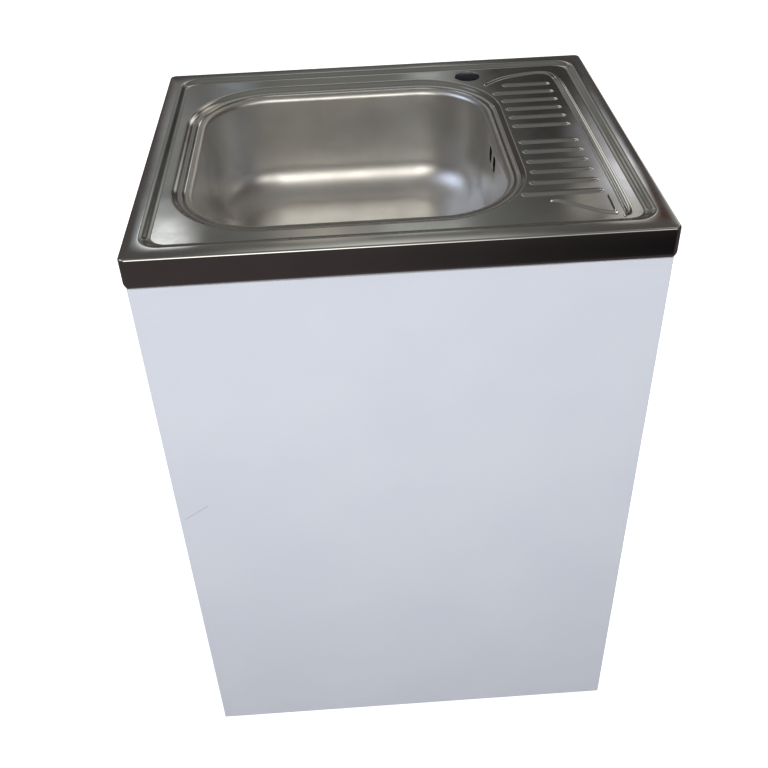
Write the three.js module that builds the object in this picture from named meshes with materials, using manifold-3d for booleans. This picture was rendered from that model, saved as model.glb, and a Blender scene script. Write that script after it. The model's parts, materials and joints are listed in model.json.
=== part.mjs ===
// Kitchen sink unit: a lay-on pressed steel sink with drainer, on a white board cabinet with one
// full-height door, a basket waste with overflow, and a bottle trap.
// Millimetres, +Z up. The origin is the middle of the footprint on the floor; the door faces -Y.

import * as THREE from "three";
import { mergeVertices } from "three/addons/utils/BufferGeometryUtils.js";
import Module from "manifold-3d";

const wasm = await Module();
wasm.setup();

// ---------------------------------------------------------------- driving dimensions

// Overall
const UNIT_WIDTH = 600;
const UNIT_DEPTH = 520;
const UNIT_HEIGHT = 850;
const TOUCH_GAP = 0.3;                  // between pieces that rest on or pass through each other
const ROUND = 24;                       // sides of big rounds, of pins and of small rounds
const PIN_ROUND = 16;
const SMALL_ROUND = 12;

// Pressed deck
const SHEET = 0.8;
const SKIRT_HEIGHT = 38;
const EDGE_RADIUS = 2.5;
const DECK_CORNER_RADIUS = 8;
const HEM_TUCK = 2.8;                   // how far the skirt's lower hem turns in
const HEM_HEIGHT = 7;
const RIM_SIDE = 16;
const RIM_FRONT = 22;
const RIM_REAR = 17;
const FIELD_DEPTH = 4;                  // sunk field below the rim
const FIELD_SLOPE = 13;
const FIELD_RADIUS = 26;
const FUNNEL_DEPTH = 9;                 // ledge round the bowl below the rim
const FUNNEL_SIDE = 24.5;               // funnel's outer line beyond the bowl's wall, left
const FUNNEL_DRAINER = 22;              // the same, on the drainer side
const FUNNEL_FRONT = 27.5;
const FUNNEL_REAR = 28.5;
const FUNNEL_RADIUS = 115;
const LEDGE_OUTER = 15;                 // flat ledge round the bowl, from the bowl's wall outwards
const LEDGE_INNER = 8;
const CORNER_STEPS = 8;

// Bowl
const BOWL_WIDTH = 375;
const BOWL_LENGTH = 359;
const BOWL_DEPTH = 150;                 // rim to floor
const BOWL_RADIUS = 88;
const BOWL_LEFT_MARGIN = 62.5;          // bowl's left wall in from the deck's left edge
const BOWL_Y = -1;
const BOWL_ROLL = 7.5;                  // rounded edge at the opening
const BOWL_DRAFT = 5;                   // inward lean of the wall over its height
const BOWL_FOOT_RADIUS = 42;
const BOWL_FLANGE = 12;                 // flange under the deck's ledge, from the bowl's wall outwards
const BOWL_CURVE_STEPS = 4;
const OVERFLOW_SIZE = 20;
const OVERFLOW_PITCH = 30;
const OVERFLOW_Y = 10.5;
const OVERFLOW_BELOW_RIM = 40;
const OVERFLOW_CORNER = 6;

// Drainer
const RIB_PITCH = 27.5;
const RIBS_PER_GROUP = 6;
const RIB_GROUP_GAP = 49;
const RIB_WIDTH = 13;
const RIB_HEIGHT = 1.8;
const RIB_SIDES = 10;
const RIB_END_STEPS = 3;
const RIB_TO_BEAD = 15;                 // ribs' right ends in from the bead's middle
const RIB_TO_FUNNEL = 4;
const RIBS_Y = 4;
const REAR_RIB_START = 0.22;            // the rear rib starts late: its share of the drainer's width
const BEAD_HEIGHT = 2.2;
const BEAD_INSET = 16;                  // bead's middle in from the field's flat right edge
const DRAINER_START = 10.5;             // ridges' places are counted from here, off the bowl's right wall
const RIDGE_STEPS = 3;
const RIDGE_SIDES = 8;
// Ridges' routes: share of the way from the drainer's start to the bead, in from the field's flat rear
// or front edge, and width
const BEAD_REAR_ROUTE = [[0, 60, 4], [0.06, 54, 8], [0.23, 39.5, 8.5], [0.52, 27, 8.5], [0.79, 23, 8.5],
  [0.91, 29, 9], [0.955, 42, 10.5], [0.98, 65, 12], [0.99, 109, 12], [1, 170, 12]];
const BEAD_FRONT_ROUTE = [[1, 28, 12], [0.99, 15, 10], [0.97, 9, 7], [0.93, 6, 3]];
const SWOOSH_ROUTE = [[0.25, 47.5, 4], [0.31, 48.4, 8.5], [0.42, 41, 8.5], [0.57, 30, 8.5], [0.71, 19, 8.5],
  [0.83, 14, 7], [0.87, 12.5, 3]];
const HOOK_ROUTE = [[0.86, 12.5, 3], [0.864, 32, 3], [0.864, 53, 2]];
const TAP_HOLE_RADIUS = 17.5;
const TAP_HOLE_FROM_BOWL = 9.5;         // its middle in from the line of the bowl's right wall
const TAP_HOLE_FROM_REAR = 36;          // and in from the field's rear edge

// Cabinet boards
const BOARD = 16;
const BACK_BOARD = 3;
const CARCASS_SIDE_INSET = 2;           // side panels' outer faces in from the door's edges
const CARCASS_REAR_INSET = 10;          // side panels' rear edges in from the deck's rear
const GLIDE_HEIGHT = 3;
const GLIDE_RADIUS = 7;
const GLIDE_CHAMFER = 1;
const GLIDE_PIN_RADIUS = 1.2;
const GLIDE_PIN_LENGTH = 10;
const GLIDE_INSET = 35;
const BOTTOM_RISE = 30;                 // bottom panel above the side panels' lower ends
const RAIL_HEIGHT = 70;
const RAIL_SCREW_INSET = 16;            // rail screws below the rails' upper edges
const CUTOUT_WIDTH = 240;
const CUTOUT_LOW = 430;
const CUTOUT_HIGH = 640;

// Door
const DOOR_SIDE_INSET = 2;              // door's edges in from the deck's sides
const DOOR_FLOOR_GAP = 4;
const DOOR_TOP_GAP = 3;                 // below the skirt's hem
const DOOR_FRONT_INSET = 8;             // door face behind the deck's front
const DOOR_CARCASS_GAP = 3;
const DOOR_EASED_EDGE = 2;
const BUMPER_RADIUS = 4;
const BUMPER_END_INSET = 50;

// Hinges
const HINGE_END_INSET = 95;             // hinge centre from the door's ends
const PIVOT_FROM_EDGE = 8;
const PIVOT_FROM_BACK = 7.5;
const PIN_RADIUS = 1.5;
const PIN_LENGTH = 20;
const PIN_RUNNING_CLEARANCE = 0.06;
const EYE_RADIUS = 2.5;
const EYE_ROOM = 1;                     // from the eye to the pocket's end wall
const ARM_WIDTH = 10.6;
const ARM_THICKNESS = 1.8;
const ARM_LENGTH = 62;
const CUP_RADIUS = 17.35;
const CUP_DEPTH = 11.7;
const CUP_EDGE_DISTANCE = 3;
const CUP_FLANGE = 0.8;
const CUP_FLANGE_LAP = 1.2;
const CUP_POCKET_WIDTH = 11.8;
const CUP_POCKET_DEPTH = 10.5;
const CUP_POCKET_LENGTH = 29;
const CUP_WING = 2;                     // flange material beyond the dowels
const DOWEL_RADIUS = 4;
const DOWEL_LENGTH = 9;
const DOWEL_SPACING = 45;
const DOWEL_OFFSET = 6;
const PLATE_THICKNESS = 3;
const PLATE_START = 25;
const PLATE_LENGTH = 36;
const PLATE_HEIGHT = 48;
const PLATE_WING = 2.5;                 // plate material beside the screw heads
const PLATE_ARM_HEIGHT = 14;
const PLATE_SCREW_SPACING = 32;

// Screws: shank radius, head radius, head depth, length
const CARCASS_SCREW = { shank: 2.5, head: 4.6, headDepth: 3, length: 50 };
const SMALL_SCREW = { shank: 1.8, head: 3.6, headDepth: 1.6, length: 13 };
const SCREW_SIDES = 10;
const FIT_CLEARANCE = 0.15;             // round screws, pins and dowels in their holes

// Sink clips
const CLIP_FRONT_INSET = 83;            // clips' middles in from the carcass's front and rear
const CLIP_REAR_INSET = 100;
const CLIP_WIDTH = 22;
const CLIP_THICKNESS = 1.5;
const CLIP_LEG = 40;
const CLIP_TAB = 18;
const CLIP_SCREW_DROP = 24;

// Push latch
const LATCH_BELOW_RAIL = 18;
const LATCH_WIDTH = 16;
const LATCH_HEIGHT = 18;
const LATCH_LENGTH = 52;
const LATCH_SETBACK = 4;                // housing's mouth behind the carcass front
const LATCH_BORE_END = 3;               // material left behind the plunger's bore
const LATCH_DOWEL_RADIUS = 2.5;
const LATCH_DOWEL_LENGTH = 8;
const PLUNGER_RADIUS = 4;
const PLUNGER_LENGTH = 46;
const STRIKE_RADIUS = 8;
const STRIKE_THICKNESS = 1;

// Waste and trap
const DRAIN_RADIUS = 44;                // strainer cup's outer wall
const STRAINER_LIP_RADIUS = 56;
const STRAINER_LIP = 1.4;
const STRAINER_LIP_TAPER = 2;
const STRAINER_WALL = 1.6;
const STRAINER_CUP_DEPTH = 36;
const STRAINER_CONE = 10;
const PIPE_RADIUS = 19;
const PIPE_WALL = 2;
const STRAINER_SPIGOT = 20;
const SEAL_THICKNESS = 3;
const LOCKNUT_HEIGHT = 12;
const LOCKNUT_WALL = 9;
const BASKET_WALL = 1;
const BASKET_RIM = 2;                   // height of the basket's upright rim
const BASKET_CLEARANCE = 1.2;
const BASKET_TAPER = 5;
const BASKET_HOLE_RADIUS = 2.6;
const BASKET_HOLE_CIRCLE = 24;
const BASKET_HOLES = 10;
const BASKET_HOLE_SIDES = 6;
const KNOB_RADIUS = 9;
const KNOB_HEIGHT = 10;
const KNOB_THICKNESS = 3;
const KNOB_TAPER = 1;
const TAIL_LENGTH = 168;
const TAIL_DIP = 92;                    // tailpiece's end below the trap's top
const TAIL_BRANCH_DROP = 30;            // overflow branch below the tailpiece's top
const BRANCH_RADIUS = 9;
const BRANCH_WALL = 2;
const BRANCH_REACH = 40;
const NUT_WALL = 5;
const NUT_HEIGHT = 20;
const NUT_LUGS = 8;
const LUG_SIZE = 4;
const TRAP_RADIUS = 36;
const TRAP_WALL = 2.5;
const TRAP_BODY_HEIGHT = 66;
const TRAP_NECK = 16;
const TRAP_SHOULDER = 4;                // chamfer round the trap's upper edge
const TRAP_CUP_HEIGHT = 62;
const TRAP_CUP_LAP = 14;
const TRAP_CUP_WAIST = 2;               // cup below its lap, in from the lap's outside
const TRAP_CUP_FOOT = 14;               // chamfer round the cup's floor: inwards and upwards
const TRAP_CUP_FOOT_RISE = 8;
const TRAP_OUTLET_DROP = 24;
const TRAP_OUTLET_REACH = 66;
const OUTLET_PIPE_RADIUS = 20;
const OUTLET_PIPE_WALL = 1.8;
const OUTLET_END_INSET = 3;             // outlet pipe's end in from the deck's rear

// Overflow
const ELBOW_WIDTH = 60;
const ELBOW_HEIGHT = 34;
const ELBOW_DEPTH = 22;
const ELBOW_WALL = 2;
const OVERFLOW_SEAL_THICKNESS = 3;
const HOSE_RADIUS = 12.5;
const HOSE_GROOVE_RADIUS = 10.8;
const HOSE_RIB_PITCH = 8;
const HOSE_RIBS_PER_BORE_RING = 2;
const HOSE_BEND_RADIUS = 110;
const HOSE_SIDES = 8;
const HOSE_START_DROP = 8;              // hose's upper end below the elbow's box
const HOSE_END_GAP = 4;                 // hose's lower end from the tailpiece's wall
const SPIGOT_LENGTH = 26;

// ---------------------------------------------------------------- worked-out places

const RIM_Z = UNIT_HEIGHT;
const FIELD_Z = RIM_Z - FIELD_DEPTH;
const LEDGE_Z = RIM_Z - FUNNEL_DEPTH;
const BOWL_FLANGE_Z = LEDGE_Z - SHEET;
const BOWL_FLOOR_Z = RIM_Z - BOWL_DEPTH;
const OVERFLOW_Z = RIM_Z - OVERFLOW_BELOW_RIM;

const DECK_BOX = { x0: -UNIT_WIDTH / 2, x1: UNIT_WIDTH / 2, y0: -UNIT_DEPTH / 2, y1: UNIT_DEPTH / 2 };
const FIELD_BOX = {
  x0: DECK_BOX.x0 + RIM_SIDE,
  x1: DECK_BOX.x1 - RIM_SIDE,
  y0: DECK_BOX.y0 + RIM_FRONT,
  y1: DECK_BOX.y1 - RIM_REAR,
};
const BOWL_X = DECK_BOX.x0 + BOWL_LEFT_MARGIN + BOWL_WIDTH / 2;
const BOWL_BOX = {
  x0: BOWL_X - BOWL_WIDTH / 2,
  x1: BOWL_X + BOWL_WIDTH / 2,
  y0: BOWL_Y - BOWL_LENGTH / 2,
  y1: BOWL_Y + BOWL_LENGTH / 2,
};
const FUNNEL_BOX = {
  x0: BOWL_BOX.x0 - FUNNEL_SIDE,
  x1: BOWL_BOX.x1 + FUNNEL_DRAINER,
  y0: BOWL_BOX.y0 - FUNNEL_FRONT,
  y1: BOWL_BOX.y1 + FUNNEL_REAR,
};
const BEAD_X = FIELD_BOX.x1 - FIELD_SLOPE - BEAD_INSET;
const DRAINER_X = BOWL_BOX.x1 + DRAINER_START;
const TAP_HOLE_X = BOWL_BOX.x1 - TAP_HOLE_FROM_BOWL;
const TAP_HOLE_Y = FIELD_BOX.y1 - TAP_HOLE_FROM_REAR;

const DOOR_FRONT_Y = DECK_BOX.y0 + DOOR_FRONT_INSET;
const DOOR_BACK_Y = DOOR_FRONT_Y + BOARD;
const DOOR_WIDTH = UNIT_WIDTH - 2 * DOOR_SIDE_INSET;
const DOOR_LEFT_X = -DOOR_WIDTH / 2;
const DOOR_TOP_Z = RIM_Z - SKIRT_HEIGHT - DOOR_TOP_GAP;
const DOOR_HEIGHT = DOOR_TOP_Z - DOOR_FLOOR_GAP;
const CARCASS_FRONT_Y = DOOR_BACK_Y + DOOR_CARCASS_GAP;
const CARCASS_REAR_Y = DECK_BOX.y1 - CARCASS_REAR_INSET;
const CARCASS_DEPTH = CARCASS_REAR_Y - CARCASS_FRONT_Y;
const CARCASS_MID_Y = (CARCASS_REAR_Y + CARCASS_FRONT_Y) / 2;
const SIDE_OUTER_X = DOOR_WIDTH / 2 - CARCASS_SIDE_INSET;
const SIDE_INNER_X = SIDE_OUTER_X - BOARD;
const SIDE_MID_X = SIDE_OUTER_X - BOARD / 2;
// the sloping wall of the sunk field passes over the side panels' inner edges
const SLOPE_OVER_SIDE = Math.max(0, DECK_BOX.x1 - RIM_SIDE - SIDE_INNER_X) * FIELD_DEPTH / FIELD_SLOPE;
const SIDE_TOP_Z = RIM_Z - SHEET - Math.min(SLOPE_OVER_SIDE, FIELD_DEPTH) - TOUCH_GAP;
const FIELD_UNDERSIDE_Z = FIELD_Z - SHEET;
const RAIL_TOP_Z = FIELD_UNDERSIDE_Z - TOUCH_GAP;
const RAIL_SCREW_Z = RAIL_TOP_Z - RAIL_SCREW_INSET;
const BOTTOM_Z = GLIDE_HEIGHT + BOTTOM_RISE;
const BACK_TOP_Z = RAIL_TOP_Z - RAIL_HEIGHT;
const UPPER_HINGE_Z = DOOR_TOP_Z - HINGE_END_INSET;
const LOWER_HINGE_Z = DOOR_FLOOR_GAP + HINGE_END_INSET;
const HINGE_Z = { upper: UPPER_HINGE_Z, lower: LOWER_HINGE_Z };
// in the door's frame: x from the hinge edge, y from the back face
const CUP_X = CUP_EDGE_DISTANCE + CUP_RADIUS + FIT_CLEARANCE;
const SIDE_INNER_FROM_EDGE = -SIDE_INNER_X - DOOR_LEFT_X;
const PLATE_TOP_FROM_EDGE = SIDE_INNER_FROM_EDGE + PLATE_THICKNESS;
const ARM_FROM_EDGE = PLATE_TOP_FROM_EDGE + TOUCH_GAP;
const LATCH_Z = BACK_TOP_Z - LATCH_BELOW_RAIL;
const LATCH_X = SIDE_INNER_X - LATCH_WIDTH / 2;

const SPIGOT_END_DROP = STRAINER_CUP_DEPTH + STRAINER_CONE + STRAINER_SPIGOT;
const TAIL_TOP_Z = BOWL_FLOOR_Z - SPIGOT_END_DROP - TOUCH_GAP;
const TAIL_END_Z = TAIL_TOP_Z - TAIL_LENGTH;
const BRANCH_Z = TAIL_TOP_Z - TAIL_BRANCH_DROP;
const TRAP_TOP_Z = TAIL_END_Z + TAIL_DIP;
const TRAP_OUTLET_Z = TRAP_TOP_Z - TRAP_OUTLET_DROP;
const TRAP_BODY_END_Z = TRAP_TOP_Z - TRAP_BODY_HEIGHT;
const OUTLET_END_Y = DECK_BOX.y1 - OUTLET_END_INSET;
const ELBOW_X = BOWL_BOX.x1 + SHEET + OVERFLOW_SEAL_THICKNESS;
const HOSE_X = ELBOW_X + ELBOW_DEPTH - HOSE_RADIUS;
const HOSE_TOP_Z = OVERFLOW_Z - ELBOW_HEIGHT / 2 - HOSE_START_DROP;

// ---------------------------------------------------------------- finishes

const FINISHES = {
  polishedSteel: { color: 0x8d8b8b, roughness: 0.16, metalness: 1 },
  satinSteel: { color: 0xa5a3a2, roughness: 0.38, metalness: 1 },
  whiteBoard: { color: 0xdde1e8, roughness: 0.42, metalness: 0 },
  hardboard: { color: 0xd9d6cf, roughness: 0.7, metalness: 0 },
  zincSteel: { color: 0x9fa3a6, roughness: 0.35, metalness: 1 },
  whitePlastic: { color: 0xe8e8e4, roughness: 0.45, metalness: 0 },
  greyPlastic: { color: 0x8f9296, roughness: 0.5, metalness: 0 },
  blackRubber: { color: 0x1b1b1c, roughness: 0.8, metalness: 0 },
  clearPad: { color: 0xc9ccd0, roughness: 0.3, metalness: 0 },
};

// ---------------------------------------------------------------- geometry helpers

/** Turns a geometry's faces outwards if its volume comes out negative. */
function outward(geometry) {
  const place = geometry.getAttribute("position");
  const order = geometry.getIndex();
  const a = new THREE.Vector3();
  const b = new THREE.Vector3();
  const c = new THREE.Vector3();
  let volume = 0;
  for (let i = 0; i < order.count; i += 3) {
    a.fromBufferAttribute(place, order.getX(i));
    b.fromBufferAttribute(place, order.getX(i + 1));
    c.fromBufferAttribute(place, order.getX(i + 2));
    volume += a.dot(b.cross(c));
  }
  if (volume < 0) {
    const flipped = Array.from(order.array).reverse();
    geometry.setIndex(flipped);
  }
  return geometry;
}

/** A geometry with only positions, its shared corners merged and its faces outwards. */
function clean(geometry) {
  const bare = geometry.clone();
  bare.deleteAttribute("normal");
  bare.deleteAttribute("uv");
  return outward(mergeVertices(bare, 1e-4));
}

/** A geometry as a solid that can be joined and cut. */
function solid(geometry) {
  const merged = clean(geometry);
  return new wasm.Manifold(new wasm.Mesh({
    numProp: 3,
    vertProperties: Float32Array.from(merged.getAttribute("position").array),
    triVerts: Uint32Array.from(merged.getIndex().array),
  }));
}

/** A solid back as a geometry. */
function geometryOf(body) {
  const mesh = body.getMesh();
  const geometry = new THREE.BufferGeometry();
  geometry.setAttribute("position", new THREE.BufferAttribute(mesh.vertProperties, 3));
  geometry.setIndex(new THREE.BufferAttribute(mesh.triVerts, 1));
  geometry.computeVertexNormals();
  return geometry;
}

/** Joins geometries into one. */
function join(...parts) {
  return geometryOf(parts.map(solid).reduce((whole, part) => whole.add(part)));
}

/** Cuts every tool from a base. */
function cut(base, ...tools) {
  return geometryOf(tools.map(solid).reduce((whole, tool) => whole.subtract(tool), solid(base)));
}

/** Keeps what two geometries share. */
function common(first, second) {
  return geometryOf(solid(first).intersect(solid(second)));
}

/** A box given by its corners. */
function block(x0, x1, y0, y1, z0, z1) {
  const box = new THREE.BoxGeometry(x1 - x0, y1 - y0, z1 - z0);
  return box.translate((x0 + x1) / 2, (y0 + y1) / 2, (z0 + z1) / 2);
}

/** A round bar along x, y or z, from one place to another on that axis. */
function bar(axis, radius, from, to, sides = ROUND) {
  const rod = new THREE.CylinderGeometry(radius, radius, Math.abs(to - from), sides);
  rod.translate(0, (from + to) / 2, 0);
  if (axis === "x") {
    rod.rotateZ(-Math.PI / 2);
  }
  if (axis === "z") {
    rod.rotateX(Math.PI / 2);
  }
  return rod;
}

/** A turned piece about the Z axis. The profile is [radius, z] points and closes on itself. */
function turned(profile, sides = ROUND) {
  const points = profile.map(([radius, z]) => new THREE.Vector2(radius, z));
  if (profile[0][0] > 0 || profile[profile.length - 1][0] > 0) {
    points.push(points[0].clone());
  }
  return clean(new THREE.LatheGeometry(points, sides).rotateX(Math.PI / 2));
}

/** A tube about the Z axis. */
function tube(outer, inner, z0, z1, sides = ROUND) {
  return turned([[inner, z0], [outer, z0], [outer, z1], [inner, z1]], sides);
}

/** A round of points square to a direction. Its corners are counted from a reference direction. */
function roundAt(centre, ahead, reference, radius, sides) {
  const up = reference.clone().addScaledVector(ahead, -ahead.dot(reference)).normalize();
  const side = new THREE.Vector3().crossVectors(ahead, up);
  const points = [];
  for (let i = 0; i < sides; i += 1) {
    const angle = (i + 0.5) / sides * 2 * Math.PI;
    points.push(centre.clone()
      .addScaledVector(up, radius * Math.cos(angle))
      .addScaledVector(side, radius * Math.sin(angle)));
  }
  return points;
}

/** A rectangle moved out by a margin on every side. */
function grown(box, margin) {
  return { x0: box.x0 - margin, x1: box.x1 + margin, y0: box.y0 - margin, y1: box.y1 + margin };
}

/** One rounded rectangle of points at a height, anticlockwise from above. */
function ring(box, radius, z) {
  const centres = [
    [box.x1 - radius, box.y1 - radius],
    [box.x0 + radius, box.y1 - radius],
    [box.x0 + radius, box.y0 + radius],
    [box.x1 - radius, box.y0 + radius],
  ];
  const points = [];
  centres.forEach(([x, y], corner) => {
    for (let step = 0; step <= CORNER_STEPS; step += 1) {
      const angle = (corner + step / CORNER_STEPS) * Math.PI / 2;
      points.push(new THREE.Vector3(x + radius * Math.cos(angle), y + radius * Math.sin(angle), z));
    }
  });
  return points;
}

/** A closed skin over a stack of rings. It is capped at both ends, or joins its last ring to its first. */
function skin(rings, joinsUp = false) {
  const count = rings[0].length;
  const faces = [];
  const spans = joinsUp ? rings.length : rings.length - 1;
  for (let row = 0; row < spans; row += 1) {
    const here = row * count;
    const next = ((row + 1) % rings.length) * count;
    for (let i = 0; i < count; i += 1) {
      const j = (i + 1) % count;
      faces.push(here + i, here + j, next + j, here + i, next + j, next + i);
    }
  }
  if (!joinsUp) {
    const last = (rings.length - 1) * count;
    for (let i = 1; i < count - 1; i += 1) {
      faces.push(0, i + 1, i);
      faces.push(last, last + i, last + i + 1);
    }
  }
  const geometry = new THREE.BufferGeometry().setFromPoints(rings.flat());
  geometry.setIndex(faces);
  return outward(geometry);
}

/** An outline of [x, y] points, extruded upwards from z = 0. */
function plateShape(points, height) {
  const shape = new THREE.Shape(points.map(([x, y]) => new THREE.Vector2(x, y)));
  return new THREE.ExtrudeGeometry(shape, { depth: height, bevelEnabled: false });
}

/** A named mesh of its own finish. */
function piece(name, geometry, finish) {
  const mesh = new THREE.Mesh(geometry, new THREE.MeshStandardMaterial(FINISHES[finish]));
  mesh.name = name;
  return mesh;
}

/** A group at a place, holding what it is given. */
function assembly(x, y, z, members) {
  const group = new THREE.Group();
  group.position.set(x, y, z);
  group.add(...members);
  return group;
}

// ---------------------------------------------------------------- screws

/** A countersunk screw along +Z with its head's face at z = 0, grown all round by a clearance. */
function screwShape(size, growth = 0) {
  const head = size.head + growth;
  const shank = size.shank + growth;
  const neck = -size.headDepth - growth;
  return turned([[0, growth], [head, growth], [shank, neck], [shank, -size.length - growth],
    [0, -size.length - growth]], SCREW_SIDES);
}

/** A screw whose head looks along -X or +X: the direction is the sign of that side. */
function sideScrew(size, direction, growth = 0) {
  return screwShape(size, growth).rotateY(direction * Math.PI / 2);
}

const CARCASS_SCREW_PLACES = [
  { name: "front_rail", y: CARCASS_FRONT_Y + BOARD / 2, z: RAIL_SCREW_Z },
  { name: "rear_rail", y: CARCASS_REAR_Y - BOARD / 2, z: RAIL_SCREW_Z },
  { name: "bottom_front", y: CARCASS_MID_Y - CARCASS_DEPTH / 3, z: BOTTOM_Z + BOARD / 2 },
  { name: "bottom_rear", y: CARCASS_MID_Y + CARCASS_DEPTH / 3, z: BOTTOM_Z + BOARD / 2 },
];
const SIDES = [{ name: "left", sign: -1 }, { name: "right", sign: 1 }];

/** Cutting tools for every carcass screw, on both sides of the cabinet. */
function carcassScrewHoles() {
  return SIDES.flatMap(({ sign }) => CARCASS_SCREW_PLACES.map(({ y, z }) => (
    sideScrew(CARCASS_SCREW, sign, FIT_CLEARANCE).translate(sign * SIDE_OUTER_X, y, z))));
}

function carcassScrews() {
  return SIDES.flatMap(({ name: side, sign }) => CARCASS_SCREW_PLACES.map(({ name, y, z }) => {
    const screw = piece(`screw_${name}_${side}`, screwShape(CARCASS_SCREW), "zincSteel");
    screw.position.set(sign * SIDE_OUTER_X, y, z);
    screw.rotation.y = sign * Math.PI / 2;
    return screw;
  }));
}

// ---------------------------------------------------------------- sink

/** The outline of the deck, in by an inset. */
function deckRing(inset, drop) {
  return ring(grown(DECK_BOX, -inset), Math.max(DECK_CORNER_RADIUS - inset, 1), RIM_Z - drop);
}

function deckSheet() {
  const hemMiddle = SKIRT_HEIGHT - HEM_HEIGHT / 2;
  const roll = EDGE_RADIUS * (1 - Math.SQRT1_2);
  const outside = [
    deckRing(HEM_TUCK, SKIRT_HEIGHT),
    deckRing(HEM_TUCK / 4, hemMiddle),
    deckRing(0, SKIRT_HEIGHT - HEM_HEIGHT),
    deckRing(0, EDGE_RADIUS),
    deckRing(roll, roll),
    deckRing(EDGE_RADIUS, 0),
  ];
  const inside = [
    deckRing(EDGE_RADIUS, SHEET),
    deckRing(roll + SHEET * Math.SQRT1_2, roll + SHEET * Math.SQRT1_2),
    deckRing(SHEET, EDGE_RADIUS),
    deckRing(SHEET, SKIRT_HEIGHT - HEM_HEIGHT),
    deckRing(HEM_TUCK / 4 + SHEET, hemMiddle),
    deckRing(HEM_TUCK + SHEET, SKIRT_HEIGHT),
  ];
  const pressed = (drop) => [
    ring(FIELD_BOX, FIELD_RADIUS, RIM_Z - drop),
    ring(grown(FIELD_BOX, -FIELD_SLOPE), FIELD_RADIUS - FIELD_SLOPE / 2, FIELD_Z - drop),
    ring(FUNNEL_BOX, FUNNEL_RADIUS, FIELD_Z - drop),
    ring(grown(BOWL_BOX, LEDGE_OUTER), BOWL_RADIUS + LEDGE_OUTER, LEDGE_Z - drop),
    ring(grown(BOWL_BOX, LEDGE_INNER), BOWL_RADIUS + LEDGE_INNER, LEDGE_Z - drop),
  ];
  return skin([...outside, ...pressed(0), ...pressed(SHEET).reverse(), ...inside], true);
}

/** Where the funnel's outer line stands on the drainer side, at a given y. */
function funnelEdgeX(y) {
  const farCentre = FUNNEL_BOX.y1 - FUNNEL_RADIUS;
  const nearCentre = FUNNEL_BOX.y0 + FUNNEL_RADIUS;
  const beyond = Math.max(0, y - farCentre, nearCentre - y);
  return FUNNEL_BOX.x1 - FUNNEL_RADIUS + Math.sqrt(Math.max(0, FUNNEL_RADIUS ** 2 - beyond ** 2));
}

/** A low rounded ridge along X, its foot sunk into the sheet. */
function rib(x0, x1, y) {
  const radius = RIB_WIDTH / 2;
  const ridge = new THREE.CapsuleGeometry(radius, x1 - x0 - RIB_WIDTH, RIB_END_STEPS, RIB_SIDES);
  ridge.rotateZ(Math.PI / 2).scale(1, 1, RIB_HEIGHT / radius);
  return ridge.translate((x0 + x1) / 2, y, FIELD_Z);
}

function ribPlaces() {
  const places = [];
  for (let i = 0; i < RIBS_PER_GROUP; i += 1) {
    places.push(RIBS_Y + RIB_GROUP_GAP / 2 + i * RIB_PITCH);
    places.push(RIBS_Y - RIB_GROUP_GAP / 2 - i * RIB_PITCH);
  }
  return places;
}

/** A place on the drainer, by its share of the way from the drainer's start to the bead. */
function drainerX(share) {
  return THREE.MathUtils.lerp(DRAINER_X, BEAD_X, share);
}

function ribs() {
  const rearmost = Math.max(...ribPlaces());
  return ribPlaces().map((y) => {
    const left = y === rearmost ? drainerX(REAR_RIB_START) : funnelEdgeX(y) + RIB_TO_FUNNEL;
    return rib(left, BEAD_X - RIB_TO_BEAD, y);
  });
}

/** A route's stops, as places with a width, counted in from the field's rear edge or from its front one. */
function stopsFromRear(route) {
  return route.map(([share, inset, width]) => (
    { x: drainerX(share), y: FIELD_BOX.y1 - FIELD_SLOPE - inset, width }));
}

function stopsFromFront(route) {
  return route.map(([share, inset, width]) => (
    { x: drainerX(share), y: FIELD_BOX.y0 + FIELD_SLOPE + inset, width }));
}

/** A low rounded ridge through its stops, its foot sunk into the sheet. */
function ridge(stops) {
  const up = new THREE.Vector3(0, 0, 1);
  const places = stops.map(({ x, y }) => new THREE.Vector3(x, y, 0));
  const curve = new THREE.CatmullRomCurve3(places, false, "centripetal");
  const spans = stops.length - 1;
  const rounds = [];
  for (let i = 0; i <= spans * RIDGE_STEPS; i += 1) {
    const along = i / RIDGE_STEPS;
    const before = Math.min(Math.floor(along), spans - 1);
    const width = THREE.MathUtils.lerp(stops[before].width, stops[before + 1].width, along - before);
    const share = along / spans;
    const round = roundAt(curve.getPoint(share), curve.getTangent(share), up, width / 2, RIDGE_SIDES);
    round.forEach((point) => point.multiply(new THREE.Vector3(1, 1, 2 * BEAD_HEIGHT / width)));
    rounds.push(round);
  }
  return skin(rounds).translate(0, 0, FIELD_Z);
}

/** The long bead with its two curled ends, and the front swoosh with its thin hook. */
function ridges() {
  return [
    ridge([...stopsFromRear(BEAD_REAR_ROUTE), ...stopsFromFront(BEAD_FRONT_ROUTE)]),
    ridge(stopsFromFront(SWOOSH_ROUTE)),
    ridge(stopsFromFront(HOOK_ROUTE)),
  ];
}

function sinkDeck() {
  const raised = [...ribs(), ...ridges()].map((part) => (
    common(part, block(0, DECK_BOX.x1, DECK_BOX.y0, DECK_BOX.y1, FIELD_Z - SHEET / 2, RIM_Z))));
  const tapHole = bar("z", TAP_HOLE_RADIUS, -FUNNEL_DEPTH, FUNNEL_DEPTH, ROUND)
    .translate(TAP_HOLE_X, TAP_HOLE_Y, FIELD_Z);
  return piece("sink_deck", cut(join(deckSheet(), ...raised), tapHole), "polishedSteel");
}

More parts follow.
